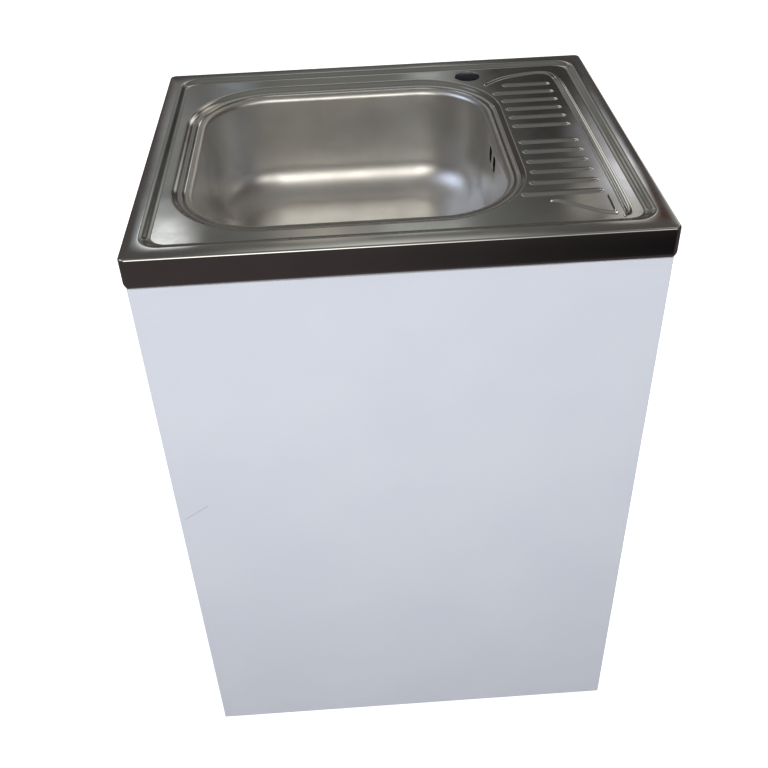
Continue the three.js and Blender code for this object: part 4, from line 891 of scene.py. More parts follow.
@dataclass(frozen=True)
class SinkTop:
    """The pressed deck: skirt, rim, sunk field, slope round the bowl, ribs, bead and tap hole."""

    outer: Outline = Outline(-0.3, 0.3, -0.26, 0.26, 0.008)
    field: Outline = Outline(-0.284, 0.284, -0.238, 0.243, 0.026)
    field_floor_radius: float = 0.0195
    funnel: Outline = Outline(-0.262, 0.1595, -0.208, 0.207, 0.115)
    bowl: Outline = Outline(-0.2375, 0.1375, -0.1805, 0.1785, 0.088)
    rim_height: float = 0.85
    sheet: float = 0.0008
    skirt: float = 0.038
    edge_radius: float = 0.0025
    hem: float = 0.007
    hem_tuck: float = 0.0028
    field_depth: float = 0.004
    field_slope: float = 0.013
    ledge_depth: float = 0.009
    ledge_outer: float = 0.015
    ledge_inner: float = 0.008
    rib_ys: tuple[float, ...] = tuple(
        0.004 + side * (0.0245 + index * 0.0275) for side in (-1, 1) for index in range(6)
    )
    rib_right: float = 0.24
    rear_rib_left: float = 0.1715
    rib_to_funnel: float = 0.004
    rib_width: float = 0.013
    rib_height: float = 0.0018
    bead_height: float = 0.0022
    bead_stops: tuple[Triple, ...] = (
        (148, 170, 4), (154.4, 176, 8), (172.6, 190.5, 8.5), (203.6, 203, 8.5), (232.5, 207, 8.5),
        (245.4, 201, 9), (250.2, 188, 10.5), (252.9, 165, 12), (253.9, 121, 12), (255, 60, 12),
        (255, -197, 12), (253.9, -210, 10), (251.8, -216, 7), (247.5, -219, 3),
    )
    swoosh_stops: tuple[Triple, ...] = (
        (174.8, -177.5, 4), (181.2, -176.6, 8.5), (192.9, -184, 8.5), (209, -195, 8.5), (224, -206, 8.5),
        (236.8, -211, 7), (241.1, -212.5, 3),
    )
    hook_stops: tuple[Triple, ...] = ((240.3, -206.2, 3), (240.4, -193, 3), (240.4, -172, 2))
    tap_hole: tuple[float, float] = (0.128, 0.207)
    tap_hole_radius: float = 0.0175
    tap_hole_edge: Profile = ((0.0012, 0.0), (0.0008, 0.0), (0.0003, 0.0002), (0.0, 0.0006))
    tap_hole_steps: int = 48
    hem_steps: int = 4
    edge_steps: int = 6
    slope_steps: int = 10
    rib_steps: int = 12
    border: float = 0.0003

    def build(self) -> None:
        """Builds the deck as one pressed sheet."""
        bm = bmesh.new()
        top, low, ledge = (self.rim_height - drop for drop in (0.0, self.field_depth, self.ledge_depth))
        field_floor = self.field.grown(-self.field_slope, self.field_floor_radius)
        outer = loft(bm, self.skirt_rings() + self.slope(self.field, field_floor, top, low))
        inner = loft(bm, [
            *self.slope(self.funnel, self.bowl.grown(self.ledge_outer), low, ledge),
            self.bowl.grown(self.ledge_inner).ring(ledge),
        ])
        loops = [outer[1], inner[0], *[loft(bm, ridge.rings(low))[0] for ridge in self.ridges()]]
        x, y = self.tap_hole
        loops.append(loft(bm, [
            circle(self.tap_hole_radius + wider, low - drop, self.tap_hole_steps, x, y)
            for wider, drop in self.tap_hole_edge
        ])[0])
        fill(bm, loops)
        face_up(bm)
        thicken(stand("deck_pressing", bm, Body.CABINET, POLISHED_STEEL, ["sink_deck"]), self.sheet)

    def skirt_rings(self) -> list[Ring]:
        """Gives the rings from the skirt's turned-in hem up to the rim.

        Returns:
            The rings of points.
        """
        rings = []
        for share, sin, _ in quarter(self.hem_steps):
            height = self.rim_height - self.skirt + self.hem * share
            rings.append(self.outer.grown(self.hem_tuck * (sin - 1)).ring(height))
        for _, sin, cos in quarter(self.edge_steps):
            height = self.rim_height - self.edge_radius * (1 - sin)
            rings.append(self.outer.grown(self.edge_radius * (cos - 1)).ring(height))
        return rings

    def slope(self, start: Outline, end: Outline, high: float, low: float) -> list[Ring]:
        """Gives the rings of a soft slope between two outlines.

        Args:
            start: The outer outline.
            end: The inner outline.
            high: The height of the outer one.
            low: The height of the inner one.

        Returns:
            The rings of points.
        """
        pairs = list(zip(start.ring(high), end.ring(low)))
        rings = [start.grown(self.border).ring(high)]
        for share in shares(self.slope_steps):
            height = high + (low - high) * ease(share)
            rings.append([Vector((*a.lerp(b, share).xy, height)) for a, b in pairs])
        return [*rings, end.grown(-self.border).ring(low)]

    def funnel_edge(self, y: float) -> float:
        """Finds where the slope round the bowl begins on the drainer side.

        Args:
            y: Where, from front to rear.

        Returns:
            Its x there.
        """
        radius = self.funnel.radius
        beyond = max(0.0, y - (self.funnel.rear - radius), self.funnel.front + radius - y)
        return self.funnel.right - radius + math.sqrt(radius**2 - beyond**2)

    def ridges(self) -> list[Ridge]:
        """Gives the ribs of the drainer, the long bead beside them, and the front sweep with its hook.

        Returns:
            The ridges.
        """
        half = self.rib_width / 2
        ridges = []
        for y in self.rib_ys:
            left = self.rear_rib_left if y == max(self.rib_ys) else self.funnel_edge(y) + self.rib_to_funnel
            start = Vector((left + half, y, 0))
            end = Vector((self.rib_right - half, y, 0))
            path = [start.lerp(end, share) for share in shares(self.rib_steps)]
            ridges.append(Ridge(path, [half] * len(path), self.rib_height))
        for stops in (self.bead_stops, self.swoosh_stops, self.hook_stops):
            ridges.append(curved_ridge(stops, self.bead_height))
        return ridges


@dataclass(frozen=True)
class Bowl:
    """The satin bowl: flange, rolled mouth, leaning wall, rounded foot and flat floor."""

    mouth: Outline = Outline(-0.2375, 0.1375, -0.1805, 0.1785, 0.088)
    flange_height: float = 0.8402
    floor: float = 0.7
    sheet: float = 0.0008
    flange: float = 0.012
    roll: float = 0.0075
    draft: float = 0.005
    foot: float = 0.042
    roll_steps: int = 8
    wall_steps: int = 4
    foot_steps: int = 14
    drain: tuple[float, float] = (-0.05, -0.001)
    drain_radius: float = 0.0443
    drain_border: float = 0.002
    overflow_ys: tuple[float, float] = (-0.0045, 0.0255)
    overflow_height: float = 0.81
    overflow_size: float = 0.02
    overflow_corner: float = 0.006
    overflow_edge: Profile = ((0.0008, 0.0), (0.0002, 0.0003), (0.0, 0.0009))

    def build(self) -> None:
        """Builds the bowl as one pressed sheet with its drain hole and two overflow openings."""
        bm = bmesh.new()
        mouth, foot = self.mouth_rings(), self.foot_rings()
        loft(bm, mouth)
        floor = loft(bm, foot)[1]
        self.wall(bm, mouth[-1], foot[0])
        radii = (self.drain_radius + self.drain_border, self.drain_radius)
        drain = loft(bm, [circle(radius, self.floor, ROUND, *self.drain) for radius in radii])[0]
        fill(bm, [floor, drain])
        face_up(bm)
        thicken(stand("bowl_pressing", bm, Body.CABINET, SATIN_STEEL, ["sink_bowl"]), self.sheet)

    def mouth_rings(self) -> list[Ring]:
        """Gives the rings from the flange over the rolled mouth to the top of the wall.

        Returns:
            The rings of points.
        """
        rings = [self.mouth.grown(self.flange).ring(self.flange_height)]
        for _, sin, cos in quarter(self.roll_steps):
            height = self.flange_height - self.roll * (1 - cos)
            rings.append(self.mouth.grown(self.roll * (1 - sin)).ring(height))
        return rings

    def foot_rings(self) -> list[Ring]:
        """Gives the rings from the wall's lower end round the foot to the floor.

        Returns:
            The rings of points.
        """
        rings = []
        for _, sin, cos in quarter(self.foot_steps):
            reach = self.foot * cos - self.foot - self.draft
            height = self.floor + self.foot * (1 - sin)
            rings.append(self.mouth.grown(reach, self.mouth.radius + reach / 2).ring(height))
        return rings

    def wall(self, bm: Mesh, top: Ring, low: Ring) -> None:
        """Draws the wall, with two overflow openings in its straight right side.

        Args:
            bm: The mesh to draw in.
            top: The ring at the wall's upper end.
            low: The ring at its lower end.
        """
        loft(bm, [[a.lerp(b, share) for a, b in zip(top, low)] for share in shares(self.wall_steps)])
        right = self.mouth.right - self.draft - MM
        tiny = 1e-4
        straight = [
            face for face in bm.faces
            if all(vert.co.x > right for vert in face.verts) and abs(face.normal.y) < tiny
            and low[0].z < face.calc_center_median().z < top[0].z and face.calc_area() > tiny
        ]
        border = [
            edge for face in straight for edge in face.edges
            if sum(other in straight for other in edge.link_faces) == 1
        ]
        bmesh.ops.delete(bm, geom=straight, context="FACES_KEEP_BOUNDARY")
        openings = [loft(bm, self.opening_rings(y, top[0], low[0]))[0] for y in self.overflow_ys]
        fill(bm, [border, *openings], RIGHT)

    def opening_rings(self, y: float, top: Vector, low: Vector) -> list[Ring]:
        """Gives the rings of one overflow opening on the leaning wall, with its edge pressed outwards.

        Args:
            y: The opening's middle.
            top: A point at the wall's upper end.
            low: The point below it at its lower end.

        Returns:
            The rings of points.
        """
        half = self.overflow_size / 2
        every = 3  # so small a corner needs only some of an outline's points
        hole = Outline(-half, half, -half, half, self.overflow_corner)
        rings = []
        for wider, push in self.overflow_edge:
            ring = []
            for point in hole.grown(wider).ring(0.0)[::every]:
                height = self.overflow_height + point.y
                lean = (top.z - height) / (top.z - low.z)
                ring.append(Vector((top.x + (low.x - top.x) * lean + push, y + point.x, height)))
            rings.append(ring)
        return rings


# ---------------------------------------------------------------- cabinet


@dataclass(frozen=True)
class Screw:
    """A countersunk screw with a cross recess, in millimetres."""

    head: float
    head_depth: float
    shank: float
    recess: float
    pitch: float = 2.0
    chamfer: float = 0.15
    chamfer_depth: float = 0.25
    root_share: float = 0.78
    neck_share: float = 0.7
    point_share: float = 0.12
    point: float = 1.0
    recess_arm: float = 0.62
    recess_half: float = 0.13
    recess_floor: float = 0.8
    sides: int = 24

    def build(self, node: str, side: int) -> None:
        """Builds the screw where its node is.

        Args:
            node: The model's screw.
            side: 1 where its head looks along +x, -1 where it looks along -x.
        """
        low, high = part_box(node)
        length = (high.x - low.x) / MM
        outlines = [
            (self.head - self.chamfer, 0.0), (self.head, -self.chamfer_depth),
            (self.shank, -self.head_depth), *self.thread(length),
            (self.shank * self.neck_share, -length + self.point), (self.shank * self.point_share, -length),
        ]
        bm = bmesh.new()
        body = loft(bm, [circle(radius, height, self.sides) for radius, height in outlines], MM)
        recess = loft(bm, [self.cross(1.0, 0.0), self.cross(self.recess_floor, -self.recess)], MM)
        fill(bm, [body[0], recess[0]])
        fill(bm, [recess[1]])
        fill(bm, [body[1]], -UP)
        clean(bm)
        centre = (low + high) / 2 / MM
        face = (high.x if side > 0 else low.x) / MM
        placed(bm, (face, centre.y, centre.z), RIGHT * side)
        stand(f"{node}_cross_head", bm, Body.CABINET, ZINC_STEEL, [node], crease=30.0)

    def thread(self, length: float) -> list[tuple[float, float]]:
        """Gives the thread along the shank.

        Args:
            length: The screw's length.

        Returns:
            Its radii and heights.
        """
        outlines = []
        height = -self.head_depth - self.pitch
        while height > -length + 2 * self.point:
            for share, rise in ((self.root_share, 0.3), (1.0, 0.0), (self.root_share, -0.3)):
                outlines.append((self.shank * share, height + self.pitch * rise))
            height -= self.pitch
        return outlines

    def cross(self, share: float, height: float) -> Ring:
        """Gives the recess's outline, a plus sign.

        Args:
            share: Its size as a share of its mouth's.
            height: Its height.

        Returns:
            The points.
        """
        arm, half = self.head * self.recess_arm * share, self.head * self.recess_half * share
        points = []
        for turn in range(4):
            cos, sin = math.cos(turn * math.pi / 2), math.sin(turn * math.pi / 2)
            for x, y in ((arm, half), (half, half), (half, arm)):
                points.append(Vector((x * cos - y * sin, x * sin + y * cos, height)))
        return points


SMALL_SCREW = Screw(head=3.6, head_depth=1.6, shank=1.8, recess=1.1, pitch=1.4)


@dataclass(frozen=True)
class Cabinet:
    """The carcass boards, glides, screws and sink clips."""

    edge: float = 0.0005
    thin_edge: float = 0.0003
    boards: tuple[str, ...] = (
        "side_panel_left", "side_panel_right", "bottom_panel", "front_rail", "rear_rail",
    )
    carcass_screw: Screw = Screw(head=4.6, head_depth=3.0, shank=2.5, recess=1.8)
    foot: Profile = ((0, 0), (4.5, 0), (6.4, 0.7), (7, 1.8), (7, 3), (1.2, 3), (1.2, 13), (0, 13))

    def build(self) -> None:
        """Builds the rounded boards, the screws, the glides and the clips."""
        for node in self.boards:
            softened(node, "board", Body.CABINET, WHITE_BOARD, self.edge)
        softened("back_panel", "board", Body.CABINET, HARDBOARD, self.thin_edge)
        for end in ("front", "rear"):
            for side, sign in (("left", -1), ("right", 1)):
                self.carcass_screw.build(f"screw_{end}_rail_{side}", sign)
                self.carcass_screw.build(f"screw_bottom_{end}_{side}", sign)
                SMALL_SCREW.build(f"clip_screw_{end}_{side}", -sign)
                softened(f"sink_clip_{end}_{side}", "angle", Body.CABINET, ZINC_STEEL, self.thin_edge)
                self.glide(f"glide_{end}_{side}")

    def glide(self, node: str) -> None:
        """Builds a nail-on glide with a domed foot, where its node is.

        Args:
            node: The model's glide.
        """
        low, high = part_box(node)
        centre = (low + high) / 2 / MM
        foot = placed(turned(self.foot, 0.2, 48), (centre.x, centre.y, low.z / MM))
        stand(f"{node}_foot", foot, Body.CABINET, WHITE_PLASTIC, [node], crease=40.0)


@dataclass(frozen=True)
class Door:
    """The full-height front with its bumpers, hinges and latch."""

    edge: float = 0.0008
    steel_edge: float = 0.0003
    rod_edge: float = 0.0006
    dome: Profile = ((0, 2.7), (1.6, 2.6), (2.9, 2.1), (3.7, 1.2), (4, 0), (0, 0))
    arm_screws: tuple[tuple[str, float, float], ...] = (("set", 28, 2.6), ("hold", 9, 3.4))
    arm_face: float = 1.8

    def build(self) -> None:
        """Builds the front and what it hangs on."""
        softened("door", "front", Body.DOOR, WHITE_FRONT, self.edge)
        for level in ("upper", "lower"):
            self.bumper(f"door_bumper_{level}")
            for node, form, body in (
                ("hinge_cup", "pressing", Body.DOOR), ("hinge_arm", "pressing", Body.CABINET),
                ("hinge_plate", "casting", Body.CABINET),
            ):
                softened(f"{node}_{level}", form, body, ZINC_STEEL, self.steel_edge)
            self.adjusters(f"hinge_arm_{level}")
            for end in ("low", "high"):
                SMALL_SCREW.build(f"plate_screw_{level}_{end}", 1)
            dress(f"hinge_pin_{level}", ZINC_STEEL)
        softened("latch_housing", "moulding", Body.CABINET, WHITE_PLASTIC, self.edge)
        softened("latch_plunger", "rod", Body.PLUNGER, GREY_PLASTIC, self.rod_edge)
        softened("latch_strike", "disc", Body.DOOR, ZINC_STEEL, self.steel_edge)

    def bumper(self, node: str) -> None:
        """Builds a clear domed pad on the door's back, where its node is.

        Args:
            node: The model's bumper.
        """
        low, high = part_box(node)
        centre = (low + high) / 2 / MM
        dome = placed(turned(self.dome, 0.1, 32), (centre.x, low.y / MM, centre.z), REAR)
        stand(f"{node}_pad", dome, Body.DOOR, CLEAR_PAD, [node])

    def adjusters(self, arm: str) -> None:
        """Builds the two screws that set and hold a hinge arm.

        Args:
            arm: The model's arm.
        """
        low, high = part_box(arm)
        face, middle = low.x / MM + self.arm_face, (low.z + high.z) / 2 / MM
        for name, inset, radius in self.arm_screws:
            head = turned(((0, 0), (radius, 0), (radius, 0.9), (radius - 0.4, 1.2), (0, 1.2)), 0.1, 32)
            placed(head, (face, high.y / MM - inset, middle), RIGHT)
            stand(f"{arm}_{name}_screw", head, Body.CABINET, ZINC_STEEL, [])


# ---------------------------------------------------------------- waste, trap and overflow


@dataclass(frozen=True)
class Plumbing:
    """The waste, the trap and the overflow under the bowl, in millimetres."""

    axis: tuple[float, float] = (-50.0, -1.0)
    bowl_floor: float = 700.0
    tail_top: float = 633.7
    tail_length: float = 168.0
    branch: float = 603.7
    trap_top: float = 557.7
    trap_end: float = 491.7
    outlet: float = 533.7
    outlet_nut: float = 66.15
    collar: float = 1.2
    collar_height: float = 2.4
    chamfer: float = 1.6
    ribs: int = 16
    rib_depth: float = 1.8
    fine: int = 96
    finest: int = 128
    pad_edge: float = 0.0005
    elbow_edge: float = 0.0012
    strainer_wall: Profile = (
        (42.4, 1.4), (49, 1.4), (53, 1.3), (55, 0.9), (56, 0.0), (44, 0.0), (44, -36), (19, -46), (19, -66),
        (17, -66), (17, -44.4), (42.4, -34.4),
    )
    seal_ring: Profile = ((44.3, -3.8), (53.3, -3.8), (53.3, -0.8), (44.3, -0.8))
    basket_wall: Profile = (
        (41.2, 0.0), (41.2, -2.0), (40.9, -2.6), (38.6, -18), (36.6, -33.2), (35.6, -35.4), (33.8, -36.5),
    )
    basket_sheet: float = 0.6
    basket_holes: tuple[tuple[float, int], ...] = ((10.5, 6), (18.0, 12), (25.5, 18), (31.5, 24))
    hole_edge: Profile = ((1.7, -36.5), (1.45, -36.65))
    knob: Profile = (
        (0, -36.4), (5.5, -36.4), (5.5, -35.5), (3, -34.5), (3, 3.5), (4.2, 5.4), (8.2, 6.6), (9, 7.4),
        (9, 8.4), (7.6, 9.7), (4, 10), (0, 10),
    )
    trap_shell: Profile = (
        (19.3, 16), (21.8, 16), (21.8, 0), (30, 0), (33.6, -1.2), (35.4, -3), (36, -5.4), (36, -66),
        (33.5, -66), (33.5, -5), (31.5, -2.5), (19.3, -2.5),
    )
    trap_cup: Profile = (
        (0, -48), (18, -48), (24.8, -47.6), (29.5, -45.6), (33, -42.4), (34.8, -38.6), (36.6, -6), (38.8, -1),
        (38.8, 12.6), (37.8, 14), (36.3, 14), (36.3, -0.3), (31.6, -5), (29.8, -39.4), (22.4, -45.4),
        (0, -45.4),
    )
    outlet_tube: Profile = ((18.2, 34.8), (20, 34.8), (20, 66), (18.2, 66))
    outlet_root: Profile = ((20.2, 33), (22.4, 33), (21.4, 37.5), (20.2, 38.5))
    cup_ribs: Triple = (-0.6, 12.2, 38.0)
    hose_stops: tuple[Triple, ...] = (
        (150.8, 10.5, 785.0), (150.8, 10.5, 760.0), (150.8, 10.5, 713.7), (118.582, 4.75, 635.918),
        (40.8, -1.0, 603.7), (-2.0, -1.0, 603.7), (-27.0, -1.0, 603.7),
    )
    hose_wave: tuple[float, ...] = (10.9, 12.5, 12.5, 10.9)
    hose_bore: float = 9.6
    hose_pitch: float = 4.6
    hose_sides: int = 24
    curve_steps: int = 40
    bore_step: int = 6

    def build(self) -> None:
        """Builds everything under the bowl's floor, and the overflow beside it."""
        self.strainer()
        self.basket()
        self.nuts()
        self.tail()
        self.trap()
        self.overflow()

    def at(self, bm: Mesh, height: float, node: str, form: str, finish: Finish) -> None:
        """Places a body on the drain's axis and makes it a piece.

        Args:
            bm: The body, about the z axis.
            height: The height of its own zero.
            node: The node that it stands for.
            form: What the piece is, for its name.
            finish: Its finish.
        """
        placed(bm, (*self.axis, height))
        stand(f"{node}_{form}", bm, Body.CABINET, finish, [node], crease=50.0)

    def strainer(self) -> None:
        """Builds the strainer body with its rolled lip, and the seal under the bowl."""
        body, seal = turned(self.strainer_wall, 0.4, self.fine), turned(self.seal_ring, 0.7, self.fine)
        self.at(body, self.bowl_floor, "strainer_body", "pressing", SATIN_STEEL)
        self.at(seal, self.bowl_floor, "waste_seal", "ring", BLACK_RUBBER)

    def basket(self) -> None:
        """Builds the lift-out basket: a perforated pressed cup and its turned knob."""
        bm = bmesh.new()
        loops = [loft(bm, [circle(radius, height) for radius, height in self.basket_wall], MM)[1]]
        for reach, count in self.basket_holes:
            for middle in circle(reach, 0.0, count):
                rings = [circle(radius, height, 12, *middle.xy) for radius, height in self.hole_edge]
                loops.append(loft(bm, rings, MM)[0])
        fill(bm, loops)
        face_up(bm)
        zero = (*self.axis, self.bowl_floor)
        cup = stand("basket_cup", placed(bm, zero), Body.BASKET, SATIN_STEEL, ["strainer_basket"])
        thicken(cup, self.basket_sheet * MM)
        knob = placed(turned(self.knob, 0.2), zero)
        stand("basket_knob", knob, Body.BASKET, SATIN_STEEL, ["strainer_basket"])

    def nut(self, inner: float, outer: float, height: float) -> Mesh:
        """Builds a nut with a plain collar and grip ribs. Its middle is at height 0.

        Args:
            inner: Its bore's radius.
            outer: Its radius between the ribs.
            height: Its height.

        Returns:
            The nut.
        """
        half, collar, ledge = height / 2, outer + self.collar, self.collar_height - height / 2
        nut = turned((
            (inner, -half), (collar, -half), (collar, ledge), (outer, ledge + 0.8),
            (outer, half - self.chamfer - 0.2), (outer - self.chamfer, half), (inner, half),
        ), 0.5, self.finest)
        flute(nut, ledge + 0.6, half - 1.4, outer - 0.9, self.ribs, self.rib_depth)
        return nut

    def nuts(self) -> None:
        """Builds the big locknut and the three slip nuts."""
        for node, height, sizes in (
            ("waste_locknut", self.bowl_floor - 9.8, (44.3, 53.3, 12)),
            ("tailpiece_nut", self.tail_top + 0.15, (19.3, 24.3, 20)),
            ("trap_inlet_nut", self.trap_top + 8, (21.8, 26.8, 13.5)),
        ):
            self.at(self.nut(*sizes), height, node, "ribbed", WHITE_PLASTIC)
        x, y = self.axis
        nut = placed(self.nut(20.3, 25.3, 20), (x, y + self.outlet_nut, self.outlet), REAR)
        stand("trap_outlet_nut_ribbed", nut, Body.CABINET, WHITE_PLASTIC, ["trap_outlet_nut"], crease=50.0)

    def tail(self) -> None:
        """Builds the tailpiece with its branch for the hose."""
        pipe = turned(((17, -self.tail_length), (19, -self.tail_length), (19, 0), (17, 0)), 0.4)
        branch = turned(((7, 17.6), (9, 17.6), (9, 37), (9.2, 38), (8.8, 40), (7, 40)), 0.3, 40)
        placed(branch, (0, 0, self.branch - self.tail_top), RIGHT)
        self.at(merged(pipe, branch), self.tail_top, "tailpiece", "moulding", WHITE_PLASTIC)

    def trap(self) -> None:
        """Builds the bottle trap: its body with the side outlet, the ribbed cup, and the pipe to the wall."""
        body = turned(self.trap_shell, 0.5, self.fine)
        for side in (self.outlet_tube, self.outlet_root):
            merged(body, placed(turned(side, 0.3), (0, 0, self.outlet - self.trap_top), REAR))
        self.at(body, self.trap_top, "trap_body", "moulding", WHITE_PLASTIC)
        cup = turned(self.trap_cup, 0.5, self.finest)
        flute(cup, *self.cup_ribs, self.ribs, self.rib_depth + 0.1)
        self.at(cup, self.trap_end, "trap_cup", "ribbed", WHITE_PLASTIC)
        low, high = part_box("trap_outlet_pipe")
        reach = (high.y - low.y) / MM
        pipe = turned(((18.2, 0), (20, 0), (20, reach), (18.2, reach)), 0.4)
        placed(pipe, (self.axis[0], low.y / MM, self.outlet), REAR)
        stand("outlet_pipe_tube", pipe, Body.CABINET, WHITE_PLASTIC, ["trap_outlet_pipe"])

    def overflow(self) -> None:
        """Builds the overflow's seal, its elbow and the corrugated hose."""
        softened("overflow_seal", "pad", Body.CABINET, BLACK_RUBBER, self.pad_edge)
        softened("overflow_elbow", "moulding", Body.CABINET, GREY_PLASTIC, self.elbow_edge)
        places, wave = self.hose_places(), self.hose_wave
        last = len(places) - 1
        outside = [self.hoop(places, index, wave[index % len(wave)]) for index in range(last + 1)]
        inside = [self.hoop(places, index, self.hose_bore) for index in (*range(last, -1, -self.bore_step), 0)]
        bm = bmesh.new()
        ends = loft(bm, outside + inside, MM)
        bmesh.ops.bridge_loops(bm, edges=ends[0] + ends[1])
        bmesh.ops.recalc_face_normals(bm, faces=bm.faces)
        stand("overflow_hose_corrugated", bm, Body.CABINET, GREY_PLASTIC, ["overflow_hose"], crease=60.0)

    def hose_places(self) -> Ring:
        """Finds places along the hose's middle at even steps, in a whole number of waves.

        Returns:
            The places.
        """
        fine = curve([Vector(stop) for stop in self.hose_stops], self.curve_steps)
        reaches = [0.0]
        for before, after in zip(fine, fine[1:]):
            reaches.append(reaches[-1] + (after - before).length)
        count = round(reaches[-1] / self.hose_pitch) * len(self.hose_wave)
        places, index = [], 0
        for step in range(count + 1):
            reach = reaches[-1] * step / count
            while index < len(reaches) - 2 and reaches[index + 1] < reach:
                index += 1
            share = (reach - reaches[index]) / (reaches[index + 1] - reaches[index])
            places.append(fine[index].lerp(fine[index + 1], share))
        return places

    def hoop(self, places: Ring, index: int, radius: float) -> Ring:
        """Gives a hoop round the hose's middle.

        Args:
            places: The places along its middle.
            index: Which of them.
            radius: The hoop's radius.

        Returns:
            The points.
        """
        ahead = (places[min(index + 1, len(places) - 1)] - places[max(index - 1, 0)]).normalized()
        across = (REAR - ahead * REAR.dot(ahead)).normalized()
        up = ahead.cross(across)
        round_points = circle(radius, 0.0, self.hose_sides)
        return [places[index] + across * point.x + up * point.y for point in round_points]


# ---------------------------------------------------------------- studio


@dataclass(frozen=True)
class Glow:
    """A soft patch of the room that the steel mirrors: its direction and spread in degrees."""

    azimuth: float
    elevation: float
    reach: float
    color: Color
    strength: float = 1.6
    squash: Triple = (1.0, 1.0, 1.0)

    def toward(self) -> Vector:
        """Gives its direction, from azimuth 0 along +Y.

        Returns:
            The direction, of length 1.
        """
        azimuth, elevation = math.radians(self.azimuth), math.radians(self.elevation)
        level = math.cos(elevation)
        return Vector((math.sin(azimuth) * level, math.cos(azimuth) * level, math.sin(elevation)))

    def lit(self, behind: Feed, wiring: Wiring, place: Socket) -> Socket:
        """Draws it over what is behind it.

        Args:
            behind: The colour behind it.
            wiring: The world's wiring.
            place: The direction that is looked in.

        Returns:
            The colour with the patch.
        """
        return wiring.group(
            GLOW, Direction=place, Squash=self.squash, Toward=self.toward(), Behind=behind,
            Reach=2 * math.sin(math.radians(self.reach) / 2),
            Patch=(*[part * self.strength for part in self.color[:3]], 1.0),
        )


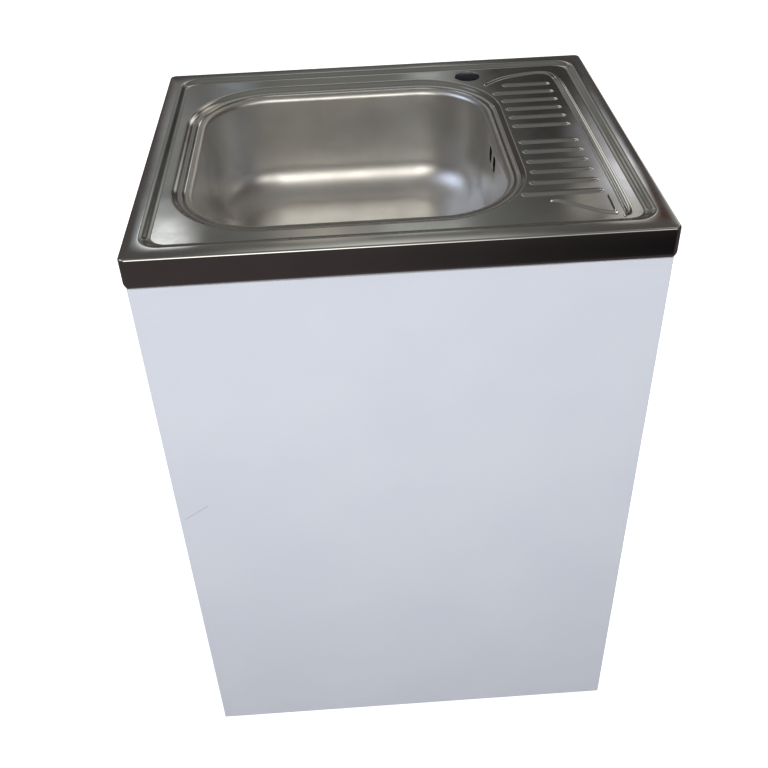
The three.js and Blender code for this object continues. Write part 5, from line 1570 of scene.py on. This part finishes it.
@dataclass(frozen=True)
class Studio:
    """The floor, the soft lights, the room that the steel mirrors, and the camera."""

    yaw: float = 0.03437
    pitch: float = 0.67025
    roll: float = -0.04059
    place: Triple = (-0.05574, -1.1549, 1.3739)
    focal: float = 976.5
    frame_width: float = 768.0
    sensor: float = 36.0
    white: Color = (1.0, 1.0, 1.0, 1.0)
    black: Color = (0.0, 0.0, 0.0, 1.0)
    dome_low: Color = (0.45, 0.45, 0.46, 1.0)
    dome_high: Color = (0.9, 0.9, 0.9, 1.0)
    far_wall: Color = linear(76, 69, 68)
    shade_toward: Triple = (-0.05, -0.7, 0.7)
    shade_squash: Triple = (0.7, 1.0, 1.0)
    shade_reach: float = 2.1
    floor_size: float = 30.0
    floor_tint: Color = linear(252, 252, 252)
    floor_glow: float = 0.75
    lamp_height: float = 0.4
    lamps: tuple[tuple[str, Triple, Triple, float, float], ...] = (
        ("front_high", (-0.15, -1.6, 1.0), (-0.05, -0.25, 0.7), 1.6, 12.3),
        ("front_low", (0.0, -2.2, 0.35), (0.0, -0.25, 0.3), 1.8, 5.8),
        ("left", (-2.4, -0.6, 1.0), (0.0, 0.0, 0.5), 1.6, 20.0),
        ("right", (2.4, -0.4, 1.0), (0.0, 0.0, 0.5), 1.6, 18.0),
        ("rear", (0.3, 1.9, 2.2), (0.0, 0.25, 0.4), 1.6, 15.0),
    )
    room: tuple[Glow, ...] = (
        Glow(0, 90, 88, linear(104, 104, 101)),
        Glow(180, 58, 50, linear(122, 119, 116)),
        Glow(148, 28, 20, linear(240, 236, 228), 2.6),
        Glow(189, 28, 30, linear(240, 236, 228), 4.0),
        Glow(0, -12, 36, linear(128, 122, 110), squash=(1.0, 1.0, 1.4)),
        Glow(2, 26, 18, linear(106, 107, 103)),
        Glow(12.5, 22.5, 7.4, linear(46, 44, 43), squash=(1.4, 1.0, 0.7)),
        Glow(-10.6, 23.2, 5.0, linear(122, 121, 121), squash=(1.3, 1.0, 0.8)),
        Glow(-12.6, 26.9, 1.7, linear(40, 38, 39)),
        Glow(-14.4, 27.2, 1.6, linear(118, 118, 120)),
        Glow(-1.6, 30.4, 4.6, linear(156, 149, 140)),
        Glow(4.2, 29.4, 3.4, linear(170, 172, 165), squash=(1.0, 1.0, 1.5)),
        Glow(6.9, 29.6, 2.2, linear(156, 157, 153), squash=(1.0, 1.0, 1.4)),
        Glow(5.4, 20.8, 2.2, linear(160, 163, 161)),
        Glow(9.8, 21.0, 1.8, linear(42, 41, 44)),
        Glow(-6.3, 20.8, 2.0, linear(122, 126, 128)),
        Glow(-13, 28.6, 4.0, linear(138, 142, 145), squash=(1.2, 1.0, 1.0)),
        Glow(-12.0, 28.9, 2.6, linear(255, 255, 252), 2.0, (1.1, 1.0, 1.5)),
        Glow(2.5, 39, 8.0, linear(226, 222, 214), 1.15, (0.6, 1.0, 1.2)),
        Glow(18.8, 28.6, 2.2, linear(176, 170, 156), 2.0),
        Glow(21.2, 27.6, 3.0, linear(64, 40, 29)),
        Glow(15.4, 27.5, 1.6, linear(140, 134, 126), 1.8),
        Glow(16.2, 23.7, 2.8, linear(150, 148, 150), 1.7),
        Glow(18.0, 25.8, 2.6, linear(220, 219, 224), 1.9),
        Glow(33, 46, 12, linear(206, 198, 182), 1.8),
        Glow(28, 16, 18, linear(238, 234, 226), 1.8, squash=(2.6, 1.0, 0.62)),
        Glow(105, 32, 42, linear(60, 50, 46)),
        Glow(-92, 38, 30, linear(214, 225, 250), 2.6),
        Glow(180, -90, 20, linear(150, 148, 146)),
        Glow(150, -30, 38, linear(16, 14, 15)),
    )

    def build(self) -> None:
        """Builds the whole studio."""
        self.camera()
        self.floor()
        self.world()
        self.lights()

    def camera(self) -> None:
        """Sets the camera where the photograph was taken from."""
        data = bpy.data.cameras.new("camera")
        data.sensor_width = self.sensor
        data.lens = self.sensor * self.focal / self.frame_width
        data.clip_start = 0.01
        data.clip_end = 100.0
        camera = shown("camera", data)
        camera.matrix_world = (
            Matrix.Translation(self.place) @ Matrix.Rotation(-self.yaw, 4, "Z")
            @ Matrix.Rotation(math.pi / 2 - self.pitch, 4, "X") @ Matrix.Rotation(self.roll, 4, "Z")
        )
        bpy.context.scene.camera = camera

    def floor(self) -> None:
        """Lays a plain pale floor, which neither the steel nor the white boards pick up."""
        bm = bmesh.new()
        bmesh.ops.create_grid(bm, x_segments=1, y_segments=1, size=self.floor_size)
        floor = shown("floor", drawn("floor", bm))
        made = bpy.data.materials.new("floor_finish")
        made.use_nodes = True
        Wiring(made.node_tree).feed(made.node_tree.nodes["Principled BSDF"], {
            "Base Color": self.floor_tint, "Roughness": 0.9, "Specular IOR Level": 0.0,
            "Emission Color": self.white, "Emission Strength": self.floor_glow,
        })
        floor.data.materials.append(made)
        floor.visible_glossy = False
        floor.visible_diffuse = False

    def world(self) -> None:
        """Fills the world: white behind the unit, soft light, and the room that the steel mirrors."""
        world = bpy.data.worlds.new("studio")
        world.use_nodes = True
        bpy.context.scene.world = world
        bpy.context.scene.view_settings.view_transform = "Standard"
        world.node_tree.nodes.clear()
        wiring = Wiring(world.node_tree)
        place = wiring.add("TexCoord", {})["Generated"]
        ray = wiring.add("LightPath", {})
        room = self.far_wall
        for glow in self.room:
            room = glow.lit(room, wiring, place)
        dome = wiring.group(
            GLOW, Direction=place, Squash=(0.0, 0.0, 1.0), Toward=UP, Reach=2.0, Behind=self.dome_low,
            Patch=self.dome_high,
        )
        shade = wiring.group(
            GLOW, Direction=place, Squash=self.shade_squash, Toward=self.shade_toward, Reach=self.shade_reach,
            Behind=dome, Patch=self.black,
        )
        tints = (shade, room, self.white)
        soft, mirrored, white = (wiring.add("Background", {"Color": tint})[0] for tint in tints)
        lit = wiring.add("MixShader", {"Fac": ray["Is Glossy Ray"], 1: soft, 2: mirrored})[0]
        shown = wiring.add("MixShader", {"Fac": ray["Is Camera Ray"], 1: lit, 2: white})[0]
        wiring.add("OutputWorld", {"Surface": shown})

    def lights(self) -> None:
        """Hangs two low soft lights in front of the door, one on each side and one behind the unit."""
        for name, place, target, width, power in self.lamps:
            data = bpy.data.lights.new(name, "AREA")
            data.shape = "RECTANGLE"
            data.size = width
            data.size_y = self.lamp_height
            data.energy = power
            light = shown(name, data)
            light.location = place
            light.rotation_euler = (Vector(target) - Vector(place)).to_track_quat("-Z", "Y").to_euler()
            light.visible_glossy = False


def main() -> None:
    """Builds the unit and its studio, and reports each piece."""
    logging.basicConfig(level=logging.INFO, format="%(name)s: %(message)s")
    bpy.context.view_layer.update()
    Studio().build()
    for part in (SinkTop(), Bowl(), Cabinet(), Door(), Plumbing()):
        known = set(bpy.data.objects.keys())
        part.build()
        for piece in bpy.data.objects.keys():
            if piece not in known:
                LOG.info("%s: %s", type(part).__name__, piece)


if __name__ == "__main__":
    main()
